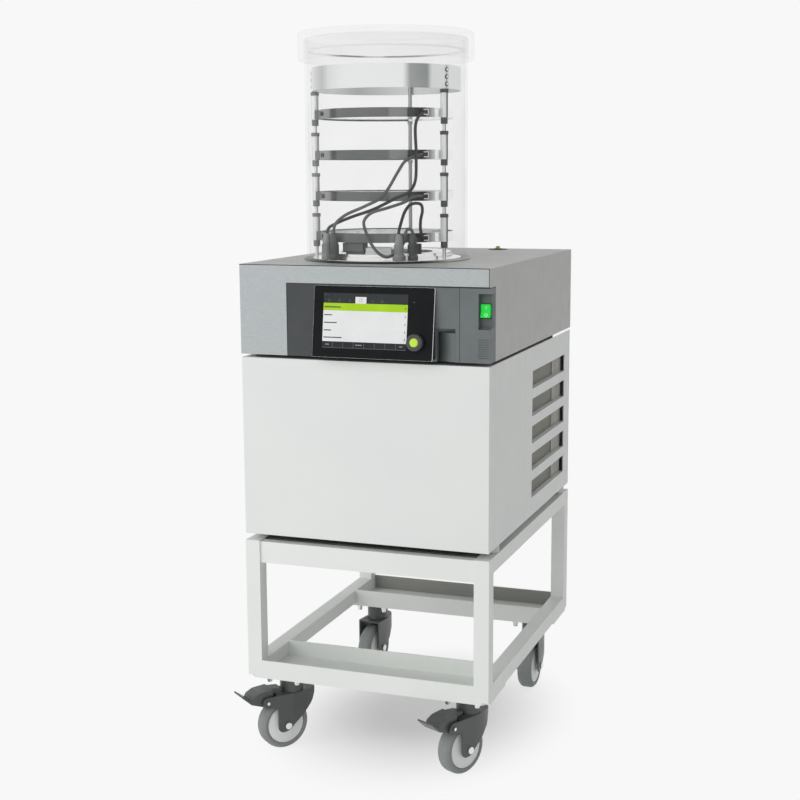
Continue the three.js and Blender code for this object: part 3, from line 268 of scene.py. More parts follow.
for finish in (
        ("zinc_plated_sheet", "a3a6a4", "babdbb", 0.42, (1, 0.1, 1), 0.6),
        ("electropolished_tray", "f4f5f5", "fafafa", 0.1, (0.05, 0.05, 1)),
        ("bead_blasted_stainless", "e3e4e4", "eff0f0", 0.4, even, 0.2),
        ("turned_stainless", "f6f7f7", "fdfdfd", 0.16, (1, 1, 0.04), 0.9),
        ("zinc_plate", "d3d6d7", "f0f2f2", 0.3, even),
        ("fin_aluminium", "b2b1ab", "c9c8c2", 0.45, (1, 1, 0.1), 0.2),
        ("turned_brass", "8b8749", "aba65c", 0.3, (1, 1, 0.1))):
    brushed(*finish)
for finish in (
        ("display_glass_face", "151718", "1b1d1e", 0.0, 0.3, 0.1),
        # painted highlight: the display glass's edge glows as if it caught the light
        ("display_glass_edge", "eff3f3", "f8fafa", 0.4, 0.3, 0.4),
        ("lime_polycarbonate", "bfe24f", "cbed5d"), ("green_polycarbonate", "27cf45", "2fdf4f", 0.12),
        ("screen_white", "dcdddd", "e2e3e3", 0.12), ("screen_green", "9ec824", "a6d12a", 0.12),
        ("screen_dark", "313536", "36393b"), ("screen_cell", "282b2c", "2d3031"),
        ("screen_line", "5a5f61", "63686a"), ("screen_text", "454a4c", "4b5052", 0.05),
        ("screen_pale", "8a8f91", "959a9c"), ("switch_mark", "cff2d3", "d9f7dc", 0.15)):
    litPlastic(*finish)
# The finger scoop's plastic, with painted shade: nearly black in its depth, and the console's own grey where
# it runs out.
addSurface(
    "scoop_abs", [(0, "101212"), (0.2, "3e4343"), (0.5, "535959"), (1, "676d6d")], (0.5, 0.6), (13, even),
    (13, even), (0.9, even), 0.02, toneBy=lambda material: acrossShare(material, 149, 180))
# Pearled aluminium laminate: short pale and dark strokes lie across the panel.
strokes = (1.5, (0.22, 1, 1))
addSurface("pearled_aluminium", ("aeb4b5", "b3b9ba", "b6bcbd", "bcc2c3"), (0.4, 0.5), strokes, strokes,
           strokes, 0.006, 0.1)
# Satin anodised shelf rim with painted reflections and shade: pale lug, dark band by the left post, then
# grey and paler towards the right.
paintedLightBands("anodised_rim_painted_light", [
    (-58, "787b7a"), (-53, "7c7f7e"), (-44, "8b8e8c"), (-36, "838684"), (-33, "3a3c3b"), (-28, "303231"),
    (-25, "5f6361"), (22, "686c6a"), (23, "898c8a"), (58, "9b9e9d"), (65, "ffffff")], 0.4, 0.1)
brushed("rim_painted_highlight", "f4f5f5", "fdfdfd", 0.2, (1, 1, 0.04))
# Polished rolled ring with painted reflections: bright in front, one soft dark band to the right, greyer at
# the left.
paintedLightBands("polished_ring", [
    (-180, "f2f3f3"), (-136, "c3c5c4"), (-110, "eceded"), (-68, "fbfbfb"), (-36, "c7c9c8"), (-28, "e4e5e4"),
    (-15, "f1f3f2"), (33, "f6f8f7"), (38, "a3a7a6"), (52, "949897"), (56, "e1e3e2"), (70, "e5e6e5"),
    (72, "b3b6b5"), (75, "e9ebea"), (150, "e9ebea"), (180, "f2f3f3")], 0.42, 0.9)
castAcrylic("cast_acrylic_tube", "fcfcfc", 0.05, 0.16)
castAcrylic("cast_acrylic_lid", "fcfcfc", 0.04, 0.13)
print("materials", len(bpy.data.materials))


def keep(name, bm, materials, nodes=(), bodyName="machine", steady=True):
    data = bpy.data.meshes.new(name)
    bmesh.ops.recalc_face_normals(bm, faces=bm.faces)
    bm.to_mesh(data)
    bm.free()
    for material in [materials] if isinstance(materials, str) else materials:
        data.materials.append(bpy.data.materials[material])
    piece = addObject(name, data)
    data.shade_smooth()
    data.set_sharp_from_angle(angle=radians(35))
    if steady:  # wide faces keep their own direction in the gloss, and the bend is left to the narrow rounds
        piece.modifiers.new("steady shading", "WEIGHTED_NORMAL").keep_sharp = True
    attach(piece, bodyName)
    if nodes:
        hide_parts(*nodes)
    return piece


# turns a profile of (radius, height) points round the axis through centre
def turn(bm, profile, segments, centre, axis=(0, 0, 1)):
    toAxis = Vector(axis).to_track_quat("Z", "Y").to_matrix()
    rings = []
    for radius, height in profile:
        ring = []
        for i in range(segments if radius > 1e-6 else 1):
            a = 2 * pi * i / segments
            spot = Vector(centre) + toAxis @ Vector((radius * cos(a), radius * sin(a), height))
            ring.append(bm.verts.new(place(*spot)))
        rings.append(ring)
    if profile[0] == profile[-1]:
        for corner in rings.pop():
            bm.verts.remove(corner)
        rings.append(rings[0])
    for low, high in zip(rings, rings[1:]):
        for i in range(segments):
            j = (i + 1) % segments
            corners = [low[i % len(low)], low[j % len(low)], high[j % len(high)], high[i % len(high)]]
            bm.faces.new(list(dict.fromkeys(corners)))


# the profile with a small round on each of its corners
def softened(profile, size, steps=2):
    closed = profile[0] == profile[-1]
    points = [Vector(point) for point in (profile[:-1] if closed else profile)]
    rounded = []
    for i, here in enumerate(points):
        if not closed and i in (0, len(points) - 1):
            rounded.append(tuple(here))
            continue
        before, after = points[i - 1] - here, points[(i + 1) % len(points)] - here
        room = min(size, before.length * 0.45, after.length * 0.45)
        start, end = here + before.normalized() * room, here + after.normalized() * room
        for s in range(steps + 1):
            t = s / steps
            rounded.append(tuple((1 - t) ** 2 * start + 2 * t * (1 - t) * here + t * t * end))
    return rounded + [rounded[0]] if closed else rounded


def addBox(bm, low, high, turnBy=None, bevel=0.0):
    corners = bmesh.ops.create_cube(bm, size=1)["verts"]
    low, high = Vector(low), Vector(high)
    for corner in corners:
        spot = (low + high) / 2 + corner.co * (high - low)
        corner.co = place(*(turnBy @ spot if turnBy else spot))
    if bevel:
        edges = list({edge for corner in corners for edge in corner.link_edges})
        bmesh.ops.bevel(bm, geom=edges, offset=bevel / 1000, segments=2, affect="EDGES", profile=0.5)


# where a block stands at a bearing round the chamber, with -y outwards
def atBearing(bearing, z=0):
    turned = spin(radians(bearing), 4, "Z")
    return move((chamber["x"], chamber["y"], z)) @ turned


# profiles of a ring and of a cylinder
def band(inner, outer, low, high):
    return [(inner, low), (outer, low), (outer, high), (inner, high), (inner, low)]


def cylinder(radius, low, high):
    return [(0, low), (radius, low), (radius, high), (0, high)]


# a whole piece turned from a softened profile, and one of blocks as (low, high, turnBy, bevel)
def addTurned(name, material, profile, size, nodes=(), bodyName="machine", steps=2,
              segments=roundSegments, centre=chamberAxis, axis=(0, 0, 1)):
    bm = bmesh.new()
    turn(bm, softened(profile, size, steps), segments, centre, axis)
    keep(name, bm, material, nodes, bodyName)


def addBlocks(name, material, blocks, nodes=(), bodyName="machine"):
    bm = bmesh.new()
    for block in blocks:
        addBox(bm, *block)
    keep(name, bm, material, nodes, bodyName)


# a face's middle in mm
def middle(face):
    return (face.calc_center_median() - originShift) * 1000


# The CAD node's own form, with clean faces and softened edges. splits are cuts that part its faces, as
# (axis, place in mm), drop says which faces go, and edgeIndex gives the rounds a material of their own.
def refine(node, materials, bevel=0.8, segments=2, choose=None, splits=(), drop=None,
           edgeIndex=-1):
    source = frame["nodes"][node]
    bm = bmesh.new()
    bm.from_mesh(source.data)
    bmesh.ops.remove_doubles(bm, verts=bm.verts, dist=2e-6)
    bmesh.ops.dissolve_limit(bm, angle_limit=radians(0.4), verts=bm.verts, edges=bm.edges)
    for axis, cut in splits:
        parts = bm.verts[:] + bm.edges[:] + bm.faces[:]
        facing = [int(i == axis) for i in range(3)]
        bmesh.ops.bisect_plane(bm, geom=parts, plane_co=place(*[cut * i for i in facing]), plane_no=facing)
    bm.normal_update()
    if drop:
        bmesh.ops.delete(bm, geom=[face for face in bm.faces if drop(face)], context="FACES")
    for face in bm.faces:
        face.material_index = choose(face) if choose else 0
    piece = keep(node + "_skin", bm, materials, [node], source["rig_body"], not bevel)
    if bevel:
        rounding = piece.modifiers.new("soft edges", "BEVEL")
        rounding.width = bevel / 1000
        rounding.segments = segments
        rounding.material = edgeIndex
        rounding.limit_method = "ANGLE"
        rounding.angle_limit = radians(32)
        rounding.harden_normals = True
    return piece


# shelf leads, as (radius, bearing, height above the head) from each shelf's connector to its plug
leads = {"diameter": 6, "stepsPerPoint": 10, "dark": ("lead_1", "lead_4")}
leadRoutes = {
    "lead_1": [
        (145, 50.7, 287), (147, 45, 277), (150, 42, 262), (152, 42, 204), (151, 41, 153), (148, 37, 136),
        (147, 27, 124), (147, 10, 103), (146, -8, 88), (142, -24, 75), (143, -33, 65), (145, -34.5, 52)],
    "lead_2": [
        (145, 50.7, 207.5), (145, 41, 202), (146, 34, 193), (147, 29, 175), (149, 21, 141), (151, 16, 125),
        (151, 4, 109), (150, -12, 92), (149, -21, 77), (146, -25, 63), (145, -25.2, 52)],
    "lead_3": [
        (145, 50.7, 127.5), (146, 40, 126), (147, 34, 117), (150, 21, 106), (150, 8, 95), (149, 3, 80),
        (147, 4, 61), (146, 8, 38), (146, 14, 19), (144, 20, 12), (137, 26, 18), (133, 31, 28),
        (143, 34, 44), (146, 34, 56), (146, 35.5, 63), (146, 37.5, 65), (146, 39.5, 61), (145, 40, 52)],
    "lead_4": [
        (145, 50.7, 48), (146, 48, 52), (146, 46.5, 62), (146.5, 46.5, 82), (146.5, 48, 100), (146, 47, 111),
        (146, 43, 114), (146, 38, 111), (146, 34, 99), (145.5, 31, 78), (145, 29.2, 60), (145, 29.2, 52)]}


# a centripetal spline through the spots, which doesn't overshoot at the tight turns
def smoothLine(spots, steps):
    spots = [spots[0] * 2 - spots[1]] + spots + [spots[-1] * 2 - spots[-2]]
    line = []
    for p0, p1, p2, p3 in zip(spots, spots[1:], spots[2:], spots[3:]):
        t1 = (p1 - p0).length ** 0.5
        t2 = t1 + (p2 - p1).length ** 0.5
        t3 = t2 + (p3 - p2).length ** 0.5
        for s in range(steps):
            t = t1 + (t2 - t1) * s / steps
            share = (t - t1) / (t2 - t1)
            first = p0.lerp(p1, t / t1)
            second = p1.lerp(p2, share)
            third = p2.lerp(p3, (t - t2) / (t3 - t2))
            line.append(first.lerp(second, t / t2).lerp(second.lerp(third, (t - t1) / (t3 - t1)), share))
    return line + [spots[-2]]


def addLead(name, route):
    spots = [place(*aroundChamber(r, bearing, headTop + height)) for r, bearing, height in route]
    line = smoothLine(spots, leads["stepsPerPoint"])
    curve = bpy.data.curves.new(name + "_flex", "CURVE")
    curve.dimensions = "3D"
    curve.bevel_depth = leads["diameter"] / 2000
    curve.bevel_resolution = 4
    curve.use_fill_caps = True
    spline = curve.splines.new("POLY")
    spline.points.add(len(line) - 1)
    for point, spot in zip(spline.points, line):
        point.co = (*spot, 1)
    curve.materials.append(bpy.data.materials["lead_silicone" + "_dark" * (name in leads["dark"])])
    piece = addObject(name + "_flex", curve)
    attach(piece, "machine")
    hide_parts(name)


for leadName, route in leadRoutes.items():
    addLead(leadName, route)
print("leads")

for panel in ("front_panel", "left_side_panel", "right_side_panel", "right_vent_panel"):
    refine(panel, "white_powder_coat", 0.55)
# painted shade: the rear trough's front-facing wall gets a darker copy of the stand's coat, and a dark sheet
# of painted shade fills the stand behind its front rail
stand = {
    "troughWallFrom": 560, "troughTop": 240, "shadeFront": 27.5, "shadeBack": 150, "shadeHalf": 221,
    "shadeFoot": 444, "shadeTop": 447.8}


def troughShadeIndex(face):
    spot = middle(face)
    return int(face.normal.y < -0.9 and spot.y > stand["troughWallFrom"] and spot.z < stand["troughTop"])


refine("stand_frame", ["stand_powder_coat", "trough_powder_coat"], 1.5, 3, troughShadeIndex)
addBlocks("stand_mat", "stand_mat_rubber", [(
    (-stand["shadeHalf"], stand["shadeFront"], stand["shadeFoot"]),
    (stand["shadeHalf"], stand["shadeBack"], stand["shadeTop"]), None, 0.4)])
# the plinth is painted dark as shade in the gap under the head, and stops short of the back, where daylight
# shows between two pale strips that are painted light in the gap
plinth = {
    "end": 484, "foot": 815.05, "low": 814, "high": 820.6, "half": 240, "stripsAt": (249, -250.4),
    "stripWide": 1.4, "stripFoot": 815.1, "stripTop": 821.2, "stripEnd": 642}
refine("chassis", ["zinc_plated_sheet", "plinth_paint"], 0, 2,
       lambda face: int(middle(face).z > plinth["foot"]), [(1, plinth["end"]), (2, plinth["foot"])],
       lambda face: middle(face).y > plinth["end"] and middle(face).z > plinth["foot"])
addBlocks("plinth_back", "plinth_paint", [(
    (-plinth["half"], plinth["end"] - 1.2, plinth["low"]), (plinth["half"], plinth["end"], plinth["high"]))])
addBlocks("rear_gap_light_strips", "electropolished_tray", [
    ((x, plinth["end"] + 2, plinth["stripFoot"]),
     (x + plinth["stripWide"], plinth["stripEnd"], plinth["stripTop"])) for x in plinth["stripsAt"]])
refine("condenser_core", "fin_aluminium", 0)

# the condenser's face behind the slots: fine fins, then its wide tube ends on a dark backing of painted
# shade, and a lip along each slot's foot
vents = {
    "start": 316, "end": 597, "top": 764.8, "pitch": 57.2, "height": 36.3, "count": 5, "sheetInside": 249.8,
    "faceX": 236, "fins": 44, "finPitch": 4.8, "finWide": 0.8, "finDeep": 2.6, "tubesFrom": 522, "tubes": 7,
    "tubePitch": 11.5, "tubeWide": 6, "tubeDeep": 6, "lipX": 239.4}
slotFeet = [vents["top"] - i * vents["pitch"] - vents["height"] for i in range(vents["count"])]
faceX, faceLow, faceHigh = vents["faceX"], slotFeet[-1] - 10, vents["top"] + 8
finX, tubeX = faceX + 0.8, faceX + vents["tubeDeep"]
fins = [((faceX, vents["start"] - 6, faceLow), (finX, vents["tubesFrom"] - 3, faceHigh))]
for i in range(vents["fins"]):
    y = vents["start"] - 5 + i * vents["finPitch"]
    fins.append(((finX, y, faceLow), (faceX + vents["finDeep"], y + vents["finWide"], faceHigh)))
for i in range(vents["tubes"]):
    y = vents["tubesFrom"] + i * vents["tubePitch"]
    fins.append(((finX, y, faceLow), (tubeX, y + vents["tubeWide"], faceHigh), None, 1.0))
addBlocks("condenser_fins", "fin_aluminium", fins)
addBlocks("condenser_shade_backing", "duct_lining", [
    ((faceX, vents["tubesFrom"] - 3, faceLow), (finX, vents["end"] + 6, faceHigh))])
addBlocks("vent_lips", "white_powder_coat", [
    ((vents["lipX"], vents["start"], foot - 1.2), (vents["sheetInside"] - 0.1, vents["end"], foot))
    for foot in slotFeet])
refine("fan_rotor", "bezel_abs", 0.4, 1)
refine("compressor", "compressor_enamel", 1.2)
print("cabinet")

refine("hood", "grey_powder_coat", 0)

# Painted shadow lines lie in the joints over the fascia, down its right end, along the console's top and on
# round the corner. The switch recess opens on the side as well; it and the grip lines are painted darker
# than the console, as painted shade. The console changes colour behind the display, at stripEdge.
head = {
    "joint": 1.5, "proud": 0.15, "fasciaEnd": 249.2, "consoleLeft": -152.2, "consoleTop": 960.2,
    "stripEdge": -20, "recessLeft": 229.5, "recessLow": 884, "recessHigh": 948.5, "recessFrom": 9.5,
    "recessTo": 29}
proud, joint, halfWidth = head["proud"], head["joint"], body["halfWidth"]
consoleTop, consoleLeft, fasciaEnd = head["consoleTop"], head["consoleLeft"], head["fasciaEnd"]
refine("fascia", ["pearled_aluminium", "joint_gasket", "grey_powder_coat"], 0.5, 2,
       lambda face: (middle(face).x > fasciaEnd) + (middle(face).x > fasciaEnd + joint),
       [(0, fasciaEnd), (0, fasciaEnd + joint)])


def consoleFinish(face):
    x, y, z = middle(face)
    if x < head["stripEdge"]:
        return 1
    if z > consoleTop - joint:
        return 3
    low, high = head["recessLow"], head["recessHigh"]
    onSide = x > halfWidth - 0.05 and head["recessFrom"] < y < head["recessTo"] and low < z < high
    inRecess = x > head["recessLeft"] and 1 < y < 12 and low - 1 < z < high + 1
    return 2 if onSide or inRecess else 0


console = refine(
    "console", ["console_abs", "console_strip_abs", "recess_abs", "joint_gasket"], 0.9, 3,
    consoleFinish, [
        (0, head["stripEdge"]), (2, consoleTop - joint), (1, head["recessFrom"]), (2, head["recessLow"]),
        (1, head["recessTo"]), (2, head["recessHigh"])])
jointTop = consoleTop + joint - 0.2
addBlocks("head_joints", "joint_gasket", [
    ((-halfWidth, -proud, headTop - joint), (halfWidth - 2, 0.5, headTop - 0.1)),
    ((consoleLeft, -proud, consoleTop - 0.2), (halfWidth, 0.5, jointTop)),
    ((consoleLeft - joint, -proud, headBottom + 0.2), (consoleLeft, 0.5, jointTop))])

# the finger scoop beside the display: deep at its left, and running out to nothing at its right
scoop = {"left": 149.3, "width": 36, "depth": 11.5, "low": 821.8, "high": 875.5, "steps": 12, "ease": 0.8}
bm = bmesh.new()
shares = [i / scoop["steps"] for i in range(scoop["steps"] + 1)]
rows = [[bm.verts.new(place(
    scoop["left"] + scoop["width"] * share,
    0.2 + scoop["depth"] * (0.5 + 0.5 * cos(pi * share ** scoop["ease"])), z))
    for share in shares] for z in (scoop["low"], scoop["high"])]
for i in range(scoop["steps"]):
    bm.faces.new((rows[0][i], rows[0][i + 1], rows[1][i + 1], rows[1][i]))
keep("finger_scoop", bm, "scoop_abs")

# grip ribs run round the corner; the console's side is set in by a hair so that they lie on it
ribs = {"left": 230, "count": 9, "first": 830.2, "pitch": 4.2, "line": 0.9, "back": 24, "setIn": 0.12}
for corner in console.data.vertices:
    corner.co.x = min(corner.co.x, place(halfWidth - ribs["setIn"], 0, 0).x)
lines = []
for i in range(ribs["count"]):
    low = ribs["first"] + i * ribs["pitch"]
    top = low + ribs["line"]
    lines.append(((ribs["left"], -0.05, low), (halfWidth - 0.4, 0.4, top)))
    lines.append(((halfWidth - 0.6, -0.05, low), (halfWidth - 0.04, ribs["back"], top)))
addBlocks("grip_lines", "recess_abs", lines)
print("head")

# display: u runs along its face from the left edge, v up from the lower edge
display = {"left": -92, "height": 135, "tilt": 8.1, "standoff": 5, "lift": 3.5, "print": 0.15, "layer": 0.04}
displayTilt = radians(display["tilt"])
displayFoot = (
    display["left"], -display["standoff"] - display["height"] * sin(displayTilt),
    headBottom + display["lift"])
onDisplay = move(displayFoot) @ spin(-displayTilt, 4, "X")
displayFacing = (onDisplay.to_3x3() @ Vector((0, -1, 0))).normalized()
refine("display_housing", "bezel_abs", 0.6)
refine("display_glass", ["display_glass_face", "display_glass_edge"], 1.0, 2,
       lambda face: int(face.normal.dot(displayFacing) < 0.9), edgeIndex=1)


def printPatches(name, patches, material, layer=1):
    rise = -display["print"] - display["layer"] * layer
    addBlocks(name, material, [
        ((u0, rise, v0), (u1, 0.2, v1), onDisplay) for u0, u1, v0, v1 in patches])


def printStrokes(name, strokes, width, material, layer=2):
    rise = -display["print"] - display["layer"] * layer
    blocks = []
    for (u0, v0), (u1, v1) in strokes:
        half, angle = hypot(u1 - u0, v1 - v0) / 2 + width / 4, atan2(v1 - v0, u1 - u0)
        centre = move(((u0 + u1) / 2, 0, (v0 + v1) / 2))
        blocks.append(((-half, rise, -width / 2), (half, 0.2, width / 2),
                       onDisplay @ centre @ spin(-angle, 4, "Y")))
    addBlocks(name, material, blocks)


# The page: a white menu under a green title with a tab and icons over it, and a row of cells along the foot.
# rows are the menu's lines as height: length, and cellWords are (start, length).
screen = {
    "left": 20, "right": 188.5, "low": 18, "high": 121.5, "menuLow": 30.3, "menuHigh": 88.5,
    "titleHigh": 102.5, "tab": (84, 106, 115), "cells": 8, "titleRow": 95,
    "rows": {80: 15, 65.6: 25, 51.3: 14, 37.8: 36},
    "cellWords": ((27, 6.5), (88, 11.5), (175, 5.5)), "icons": (31, 52, 73, 118.5, 137.5)}
left, right, low, menuLow = [screen[key] for key in ("left", "right", "low", "menuLow")]
menuHigh, titleHigh, titleRow = [screen[key] for key in ("menuHigh", "titleHigh", "titleRow")]
tabLeft, tabRight, tabTop = screen["tab"]
cellEdges = [left + i * (right - left) / screen["cells"] for i in range(screen["cells"] + 1)]
printPatches("screen_back", [(left, right, low, screen["high"])], "screen_dark", 0)
printPatches("screen_menu", [
    (left, right, menuLow, menuHigh), (tabLeft, tabRight, titleHigh, tabTop)], "screen_white")
printPatches("screen_title", [(left, right, menuHigh, titleHigh)], "screen_green")
printPatches("screen_cells", [
    (start + 0.5, end - 0.5, low + 0.6, menuLow - 0.5)
    for start, end in zip(cellEdges, cellEdges[1:])], "screen_cell")
printStrokes("screen_cell_lines", [((u, low + 1), (u, menuLow - 1)) for u in cellEdges[1:-1]] + [
    ((left + 1, low + 0.5), (right - 1, low + 0.5))], 0.9, "screen_line")
printStrokes("screen_rows", [
    ((22.5, v), (22.5 + length, v)) for v, length in screen["rows"].items()], 2.0, "screen_text")
printStrokes("screen_title_row", [((22.5, titleRow), (55, titleRow))], 2.2, "screen_text")
printStrokes("screen_chevrons", [
    ((183.4, v + rise), (185.2, v))
    for v in (titleRow, *screen["rows"]) for rise in (2, -2)], 0.9, "screen_text")
printStrokes("screen_cell_rows", [
    ((u, 24.6), (u + length, 24.6)) for u, length in screen["cellWords"]], 1.7, "screen_pale")
printStrokes("screen_icons", [
    stroke for u in screen["icons"] for stroke in (
        ((u - 2.2, 106), (u, 110.4)), ((u, 110.4), (u + 2.2, 106)), ((u - 2.2, 106), (u + 2.2, 106)))],
    0.6, "screen_line")
printStrokes("screen_tab_icon", [
    ((92.5, 106), (97.5, 106)), ((92.5, 111), (97.5, 111)), ((92.5, 106), (92.5, 111)),
    ((97.5, 106), (97.5, 111))], 0.7, "screen_pale")
printStrokes("display_dots", [
    ((22.2, 118.2), (23.4, 118.2)), ((199.2, 107.6), (201.8, 107.6))], 1.2, "screen_line")

knob = {
    "u": 207, "v": 33, "radius": 15.85, "height": 13, "rimTop": 14, "bore": 8.7, "capRadius": 8.45,
    "capTop": 14.1}
knobFoot = tuple(onDisplay @ Vector((knob["u"], 0, knob["v"])))
addTurned("control_knob_skin", "knob_abs", [
    (5.1, 7), (knob["bore"], 7), (knob["bore"], knob["height"]), (knob["rimTop"], knob["height"]),
    (knob["radius"], knob["height"] - 2.5), (knob["radius"], 1.2), (5.1, 1.2), (5.1, 7)], 1.1,
    ["control_knob"], "knob", 3, 72, knobFoot, displayFacing)
addTurned("knob_cap_skin", "lime_polycarbonate", [
    (0, knob["capTop"]), (6.6, knob["capTop"] - 0.2), (knob["capRadius"], knob["capTop"] - 1.5),
    (knob["capRadius"], 8.5), (0, 8.5)], 1.0, ["knob_cap"], "knob_button", 3, 72, knobFoot, displayFacing)
print("display")

# the rocker's upper half is pressed in; a stroke marks that half and a ring the other
rocker = {
    "middleX": 242.4, "pivotY": 12, "middleZ": 917, "lean": 6, "halfLean": 8.6, "faceY": -6.55, "faceZ": 6.3,
    "ringParts": 20}
refine("rocker_switch", "green_polycarbonate", 1.6, 3)
onRocker = (move((rocker["middleX"], rocker["pivotY"], rocker["middleZ"]))
            @ spin(-radians(rocker["lean"]), 4, "X"))
onUpper, onLower = [
    onRocker @ move((0, rocker["faceY"], side * rocker["faceZ"]))
    @ spin(side * radians(rocker["halfLean"]), 4, "X") for side in (1, -1)]
onRing = onLower @ move((0, 0, -0.8))
marks = [((-0.45, -0.15, -2.6), (0.45, 0.3, 2.6), onUpper)]
for i in range(rocker["ringParts"]):
    around = spin(2 * pi * i / rocker["ringParts"], 4, "Y")
    marks.append(((2.1, -0.15, -0.55), (3.0, 0.3, 0.55), onRing @ around))
addBlocks("rocker_marks", "switch_mark", marks, (), "power_switch")

port = {"x": 95, "y": 600, "flange": 21.5, "neck": 8, "nipple": 4.2}
portAxis = (port["x"], port["y"], 0)
addTurned("top_port_flange", "bezel_abs", [
    (0, 995.7), (port["flange"], 995.7), (port["flange"], 996.6), (18, 997.2), (port["neck"] + 0.2, 997.2),
    (port["neck"] + 0.2, 996.8)], 0.4, ["top_port"], segments=64, centre=portAxis)
addTurned("top_port_nipple", "turned_brass", [
    (0, 996.8), (port["neck"], 996.8), (port["neck"], 999), (port["nipple"], 999.4), (port["nipple"], 1003),
    (0, 1003)], 0.7, segments=48, centre=portAxis)
print("switch and port")

tubeInner, tubeOuter = chamber["tubeRadius"] - chamber["tubeWall"], chamber["tubeRadius"] - 0.35
tubeFoot, tubeTop = chamber["tubeFoot"], chamber["tubeTop"]
flangeOuter, flangeTop = tubeOuter + chamber["flange"], tubeFoot + chamber["flangeHeight"]
addTurned("chamber_tube_skin", "cast_acrylic_tube", [
    (tubeInner, tubeFoot), (flangeOuter, tubeFoot), (flangeOuter, flangeTop), (tubeOuter, flangeTop + 3),
    (tubeOuter, tubeTop), (tubeInner, tubeTop), (tubeInner, tubeFoot)], 0.9, ["chamber_tube"], "chamber")
lidTop, lidOuter = chamber["lidTop"], chamber["lidRadius"] - 0.35
lidUnder, skirtFoot = lidTop - chamber["lidThickness"], lidTop - chamber["lidSkirt"]
skirtInner = chamber["skirtInner"]
addTurned("chamber_lid_skin", "cast_acrylic_lid", [
    (0, lidUnder), (skirtInner, lidUnder), (skirtInner, skirtFoot), (lidOuter, skirtFoot),
    (lidOuter, lidTop), (0, lidTop)], 5.5, ["chamber_lid"], "lid", 5)
# painted reflection and shade on the lid's gasket: pale in front, darker towards the back
paintedLightBands("lid_gasket_silicone", [
    (-180, "a9acab"), (-162, "a9acab"), (-156, "dcdedd"), (-146, "dcdedd"), (-138, "8f9291"),
    (-122, "9a9d9c"), (-106, "fafafa"), (150, "fafafa"), (172, "bfc2c1"), (180, "a9acab")], 0.3, 0.9)
addTurned("lid_gasket", "lid_gasket_silicone", band(152, 156.4, 1403.5, 1407), 0.5, (), "lid")
# painted shade and highlight on the chamber's seal: dark under the tube's front, pale to the right
paintedLightBands("seal_rubber", [
    (-60, "a3a6a4"), (-38, "6a6d6b"), (-22, "2b2d2c"), (0, "3a3c3b"), (14, "2b2d2c"), (44, "262827"),
    (56, "8a8c88"), (66, "d8d8d4"), (95, "d8d8d4"), (150, "a3a6a4")], 0.6, 0.0)
addTurned("chamber_seal_skin", "seal_rubber", band(
    151, 167.4, chamber["sealFoot"], chamber["sealTop"]), 1.1, ["chamber_seal"])

basePlate = {"foot": 995.8, "floor": 1000, "step": 1011, "rim": 149.5, "stepRadius": 132, "mouth": 92}
foot, floor, step, rim, stepRadius, mouth = basePlate.values()
addTurned("base_plate_skin", "turned_stainless", [
    (mouth, foot), (rim, foot), (rim, floor), (stepRadius, floor), (stepRadius, step - 5),
    (stepRadius - 3, step - 5), (stepRadius - 3, step), (mouth, step), (mouth, foot)], 0.5, ["base_plate"])
addBlocks("base_blocks", "block_nylon", [
    ((-23.5, -127, 1016.5), (23.5, -109, 1033), atBearing(-11.6), 0.8),
    ((-20, -120, 1010.5), (20, -110, 1017), atBearing(-11.6))])
addBlocks("base_sensor", "bezel_abs", [
    ((-5.2, -127, 1011), (5.2, -112, 1031), atBearing(49.8), 0.8)])
addBlocks("base_manifold", "bead_blasted_stainless", [
    ((-26, -122, 1011), (26, -104, 1014), atBearing(12), 0.6),
    ((-25, -120, 1014), (25, -106, 1024), atBearing(12), 0.8)])
addTurned("cold_trap_skin", "turned_stainless", [
    (0, 760.5), (109.6, 760.5), (109.6, 995.2), (107, 995.2), (107, 763.5), (0, 763.5)], 1.5, ["cold_trap"],
    segments=96)
print("chamber")

rack = {
    "shelves": 4, "pitch": 79.5, "topRim": 1290.5, "rimHeight": 18, "shelfRadius": 134, "rimThickness": 1.6,
    "plate": 3, "postCircle": 142.3, "postAngle": 72, "highlightFrom": 65, "rod": 3.4, "rearRod": 3.8,
    "sleeve": 7.2, "collar": 8.4, "tallRadius": 6.8, "tallCollar": 12, "shortCollar": 7, "sleeveLength": 47,
    "ringRadius": 148.3, "ringHeight": 45, "ringSheet": 1.2, "gap": 0.3, "rimLip": 2.2, "rearCollar": 5.3,
    "rearCollarHeight": 6, "holeBearing": -50}
postCircle, postAngle, gap = rack["postCircle"], rack["postAngle"], rack["gap"]
rims = [rack["topRim"] - i * rack["pitch"] for i in range(rack["shelves"])]
levels = [rim - rack["rimHeight"] - gap for rim in rims]
ringFoot = levels[0] + rack["sleeveLength"] + rack["shortCollar"] + gap
ringTop = ringFoot + rack["ringHeight"]
rodFoot = basePlate["floor"] + gap

